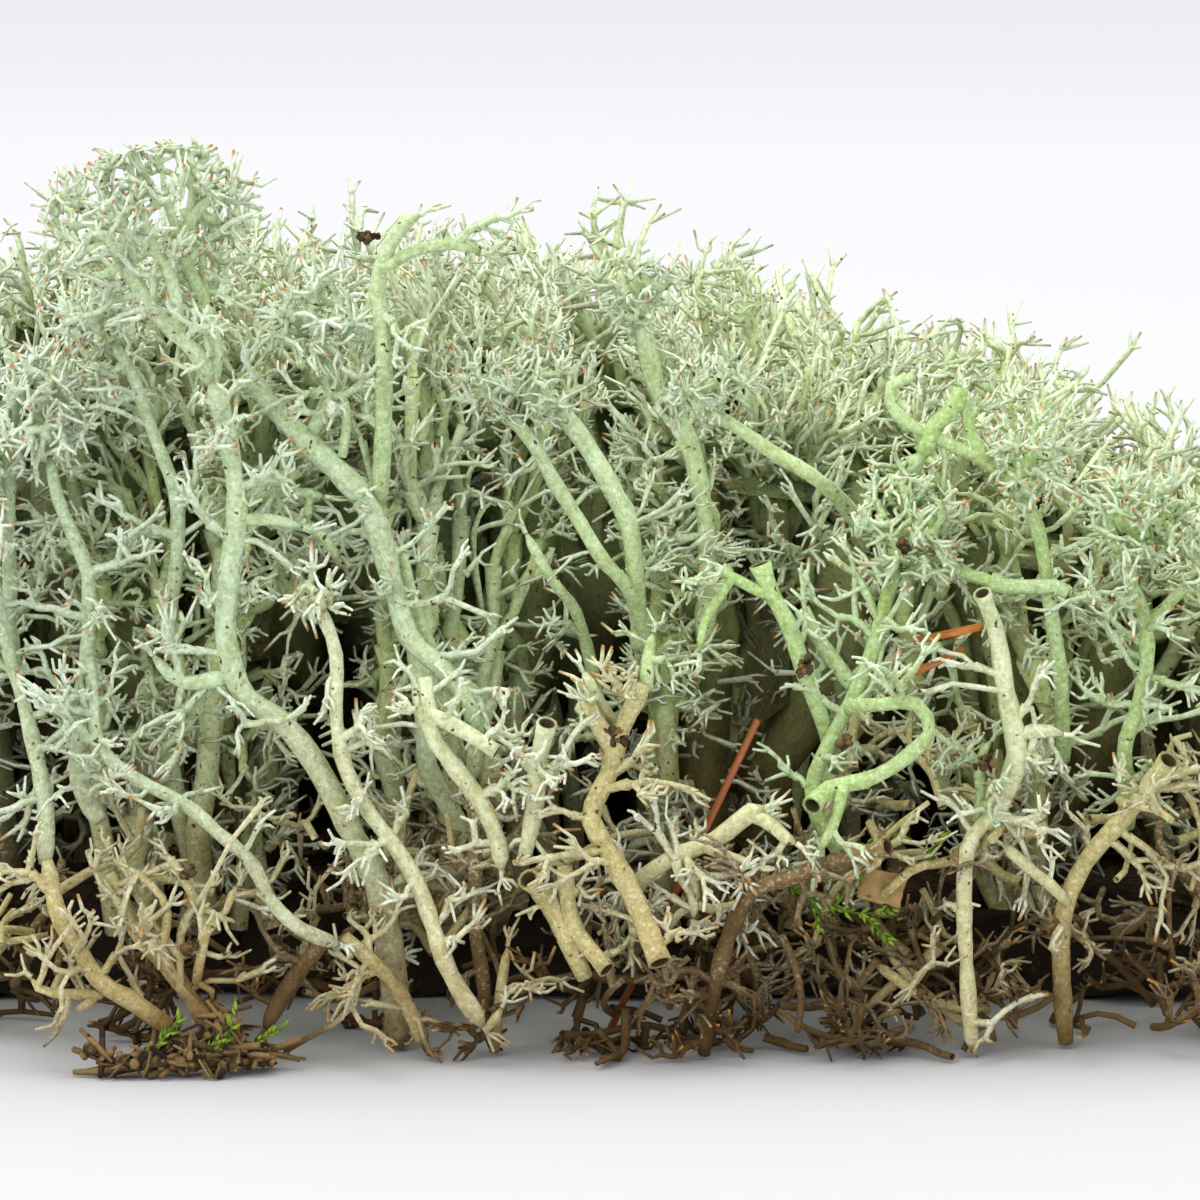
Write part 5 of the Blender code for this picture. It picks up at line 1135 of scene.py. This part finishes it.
rng = np.random.default_rng(litter["seed"])
bm = mergedCopy("base_mat")
bmesh.ops.subdivide_edges(bm, edges=bm.edges, cuts=3, use_grid_fill=True)
bm.normal_update()
for vert in bm.verts:
    raggedEdge = 1 + 0.7 * noise.noise(Vector((vert.co.x / 6, 0, 2.5)))
    vert.co.y += litter["recess"] * raggedEdge * min(max((-vert.co.y - 8) / 18, 0), 1)
    if vert.co.z > 0.3:
        rough = noise.noise(vert.co / 3.0) + 0.5 * noise.noise(vert.co / 1.2)
        vert.co += vert.normal * rough * litter["lump"]
    arch = litter["arches"] * (0.35 + noise.noise(Vector((vert.co.x / 7, 4.0, 0)))) * min(max((-vert.co.y - 12) / 12, 0), 1)
    vert.co.z = max(vert.co.z + max(arch, 0) * max(1 - vert.co.z / 5, 0), 0.1)
mat = asLump(bm, {})
mat[2]["tint"] = np.interp(mat[0][:, 1], (-24, -14), (0.0, 0.3))   # painted shade: darker under the open front, where the mat lies in the clump's shadow
bundle = {}
spots, normals = spotsOn(mat[0], mat[1], litter["twigs"] + litter["crumbs"], rng, litter["rim"])
addBits(bundle, spots, normals, rng, litter["twigs"] / (litter["twigs"] + litter["crumbs"]))
makePiece("base_litter", bundle, materials["litter"], ["base_mat"], [mat])

# the heap of litter at the left foot
bm = mergedCopy("litter_foot")
bmesh.ops.subdivide_edges(bm, edges=bm.edges, cuts=1, use_grid_fill=True)
bm.normal_update()
for vert in bm.verts:
    vert.co += vert.normal * (noise.noise(vert.co / 1.6) * 1.1 - 0.4)
    vert.co.z = max(vert.co.z * (0.7 + 0.8 * noise.noise(Vector((vert.co.x / 2.4, 0, 7)))), 0.1)
heap = asLump(bm, {"tint": 0.35})
bundle = {}
spots, normals = spotsOn(heap[0], heap[1], 260, rng)
spots += rng.normal(0, 0.25, spots.shape)
addBits(bundle, spots, normals, rng, 0.42)
makePiece("left_foot_litter", bundle, materials["litter"], ["litter_foot"], [heap])

# dark crumbs caught in the clump: where they are seen, and how far each small heap of them spreads
caught = [((368, 238, -41.0), 0.4), ((804, 667, -42.6), 0.5), ((616, 735, -47.0), 0.6), ((843, 742, -44.6), 0.45),
          ((188, 873, -47.6), 0.3), ((189, 948, -47.6), 0.35), ((905, 547, -43.6), 0.3), ((985, 760, -44.2), 0.5)]
bundle = {}
for spot, spread in caught:
    around = placeInPicture(*spot) + rng.normal(0, spread, (14, 3)) * [0.5, 0.3, 0.5]
    addBits(bundle, around, normalised(rng.normal(0, 1, (14, 3))), rng, 0.0, (0.15, 0.6))
makePiece("caught_crumbs", bundle, materials["litter"])

# moss shoots: the one seen at the lower right, and small ones in the litter
mossRoutes = {
    "moss_sprig": [[(12.6, -44.8, 12), (14, -43.8, 11.2), (15.6, -43.4, 10.4), (17.6, -43.4, 10), (19.6, -43, 10.2)]],
    "litter_moss": [
        [(-30, -49.0, 1.6), (-28.6, -49.4, 3.0), (-27.6, -49.2, 4.4)], [(-26.4, -48.8, 1.4), (-24.6, -49.2, 3.0), (-24, -49.2, 4.8)],
        [(-23.4, -47.6, 1.2), (-22.4, -48.2, 2.6), (-20.8, -48.4, 3.4)], [(-1.6, -43.6, 23.2), (-0.6, -43.9, 23.0), (0.9, -44, 22.6)],
        [(20.4, -42.6, 12.6), (21.6, -43, 13.6), (22.9, -43.2, 15.2)], [(17.2, -42.6, 14.4), (18.8, -43, 14.8), (20.2, -43.2, 15.4)]],
}
for name, routes in mossRoutes.items():
    bundle = {}
    for route in routes:
        addMoss(bundle, np.array(route, float), rng)
        if name == "moss_sprig":
            for spot, way in ((1, (0.5, -0.3, -1.6)), (2, (1.2, -0.5, 1.6)), (3, (1.4, -0.4, -1.4))):
                base = np.array(route[spot], float)
                addMoss(bundle, np.array([base, base + np.array(way) * 0.6, base + np.array(way) * 1.3]), rng)
    makePiece(name + "_shoots", bundle, materials["feather_moss"], [name] if name == "moss_sprig" else [])
print("litter and moss done,", sum(made.values()), "triangles so far")

# dead pine needles: half-round, square-ended, with a shallow groove along the flat side
needles = {
    "pine_needle_1": [(21.2, -40.2, 27.8), (25.5, -41.8, 29.0), 0.46, 0.7],
    "pine_needle_2": [(20.0, -39.6, 25.0), (24.4, -41.0, 27.3), 0.46, 0.6],
    # the last number is each needle's tint; pine_needle_3's low tint is painted shade, darker for the clump's shadow it
    # lies in
    "pine_needle_3": [(10.8, -39.2, 22.4), (0.8, -38.4, 0.8), 0.44, 0.1],
}


def needleLump(start, end, half, tint):
    start, end = Vector(start), Vector(end)
    bm = bmesh.new()
    bmesh.ops.create_cone(bm, segments=16, radius1=half, radius2=half, depth=(end - start).length, cap_ends=True)
    flat = bm.verts[:] + bm.edges[:] + bm.faces[:]
    cut = bmesh.ops.bisect_plane(bm, geom=flat, plane_co=(0, -0.12 * half, 0), plane_no=(0, 1, 0), clear_inner=True)
    bmesh.ops.holes_fill(bm, edges=[e for e in cut["geom_cut"] if isinstance(e, bmesh.types.BMEdge)], sides=0)
    side = [f for f in bm.faces if f.normal.y < -0.9 or all(abs(v.co.y + 0.12 * half) < 1e-4 for v in f.verts)]
    bmesh.ops.inset_region(bm, faces=side, thickness=0.28 * half, depth=0)
    bmesh.ops.translate(bm, vec=(0, 0.14 * half, 0), verts=list({v for f in side for v in f.verts}))
    turn = (end - start).to_track_quat("Z", "Y").to_matrix().to_4x4()
    turn.translation = (start + end) / 2
    bmesh.ops.transform(bm, matrix=turn, verts=bm.verts)
    bmesh.ops.recalc_face_normals(bm, faces=bm.faces)
    return asLump(bm, {"tint": tint})


for name, needle in needles.items():
    makePiece(name + "_finish", {}, materials["pine_needle"], [name], [needleLump(*needle)])

# a scrap of dead leaf: a thin curled sheet with a torn edge
leaf = {"centre": (18.9, -43.1, 11.8), "size": (3.0, 2.1), "thickness": 0.12, "curl": 0.45, "tilt": 0.25}
bm = bmesh.new()
bmesh.ops.create_grid(bm, x_segments=12, y_segments=9, size=0.5)
for vert in bm.verts:
    x, y = vert.co.x, vert.co.y
    edge = 1 + 0.16 * noise.noise(Vector((x * 5, y * 5, 3.1)))
    vert.co = ((x * leaf["size"][0] * edge), leaf["curl"] * (4 * x * x - 2 * y * y) + 0.2 * noise.noise(Vector((x * 3, y * 3, 0))),
               y * leaf["size"][1] * edge)
bmesh.ops.solidify(bm, geom=bm.faces[:], thickness=leaf["thickness"])
bmesh.ops.rotate(bm, matrix=Vector((1, 0, 0)).rotation_difference(Vector((math.cos(leaf["tilt"]), 0, -math.sin(leaf["tilt"])))).to_matrix(),
                 verts=bm.verts)
bmesh.ops.translate(bm, vec=leaf["centre"], verts=bm.verts)
bmesh.ops.recalc_face_normals(bm, faces=bm.faces)
makePiece("leaf_scrap_finish", {}, materials["dead_leaf"], ["leaf_scrap"], [asLump(bm, {"tint": 0.5})])
print("loose finds done")

# floor, light and camera
# floorNear is painted shade around the clump, floorFar painted light far away
studio = {"floorNear": "c8c8ca", "floorFar": "e1e1e3", "fade": (0.1, 0.9), "sky": "fafafc", "skyStrength": 1.12,
          "overhead": 5.6, "front": 3.2}

bm = bmesh.new()
bmesh.ops.create_grid(bm, x_segments=1, y_segments=1, size=6.0)
floorMesh = bpy.data.meshes.new("floor")
bm.to_mesh(floorMesh)
bm.free()
floor = bpy.data.objects.new("floor", floorMesh)
bpy.context.scene.collection.objects.link(floor)
paper, tree, shader = newMaterial("paper_sheet", 0.8, 0.2)
# painted shade and painted light: the floor is darker near the clump and lighter far off, evening out how the lamps
# light it
away = addNode(tree, "ShaderNodeVectorMath", {0: addNode(tree, "ShaderNodeTexCoord").outputs["Object"]}, operation="LENGTH")
tree.links.new(blend(tree, ramp(tree, away.outputs["Value"], *studio["fade"]), studio["floorNear"], studio["floorFar"]),
               shader.inputs["Base Color"])
floor.data.materials.append(paper)

world = bpy.data.worlds.new("studio")
world.use_nodes = True
world.node_tree.nodes["Background"].inputs["Color"].default_value = linear(studio["sky"])
world.node_tree.nodes["Background"].inputs["Strength"].default_value = studio["skyStrength"]
bpy.context.scene.world = world


def addLight(name, place, size, power):
    light = bpy.data.lights.new(name, "AREA")
    light.size = size
    light.energy = power
    lamp = bpy.data.objects.new(name, light)
    lamp.location = place
    lamp.rotation_euler = (Vector((0, 0, 0.03)) - lamp.location).to_track_quat("-Z", "Y").to_euler()
    bpy.context.scene.collection.objects.link(lamp)


addLight("overhead", (-0.15, -0.05, 0.9), 0.7, studio["overhead"])
addLight("front", (-0.5, -0.9, 0.5), 0.6, studio["front"])

cameraData = bpy.data.cameras.new("camera")
cameraData.sensor_width = 36.0
cameraData.lens = cameraData.sensor_width * view["distance"] / view["width"]
cameraData.clip_start = 0.01
cameraData.clip_end = 50.0
camera = bpy.data.objects.new("camera", cameraData)
tilt = math.radians(view["elevation"])
target = Vector(view["target"]) * mm
camera.location = target + Vector((0, -math.cos(tilt), math.sin(tilt))) * view["distance"] * mm
camera.rotation_euler = (target - camera.location).to_track_quat("-Z", "Y").to_euler()
bpy.context.scene.collection.objects.link(camera)
bpy.context.scene.camera = camera
bpy.context.scene.view_settings.view_transform = "Standard"

print("clump done,", sum(made.values()), "triangles, most in one piece", max(made.values()))
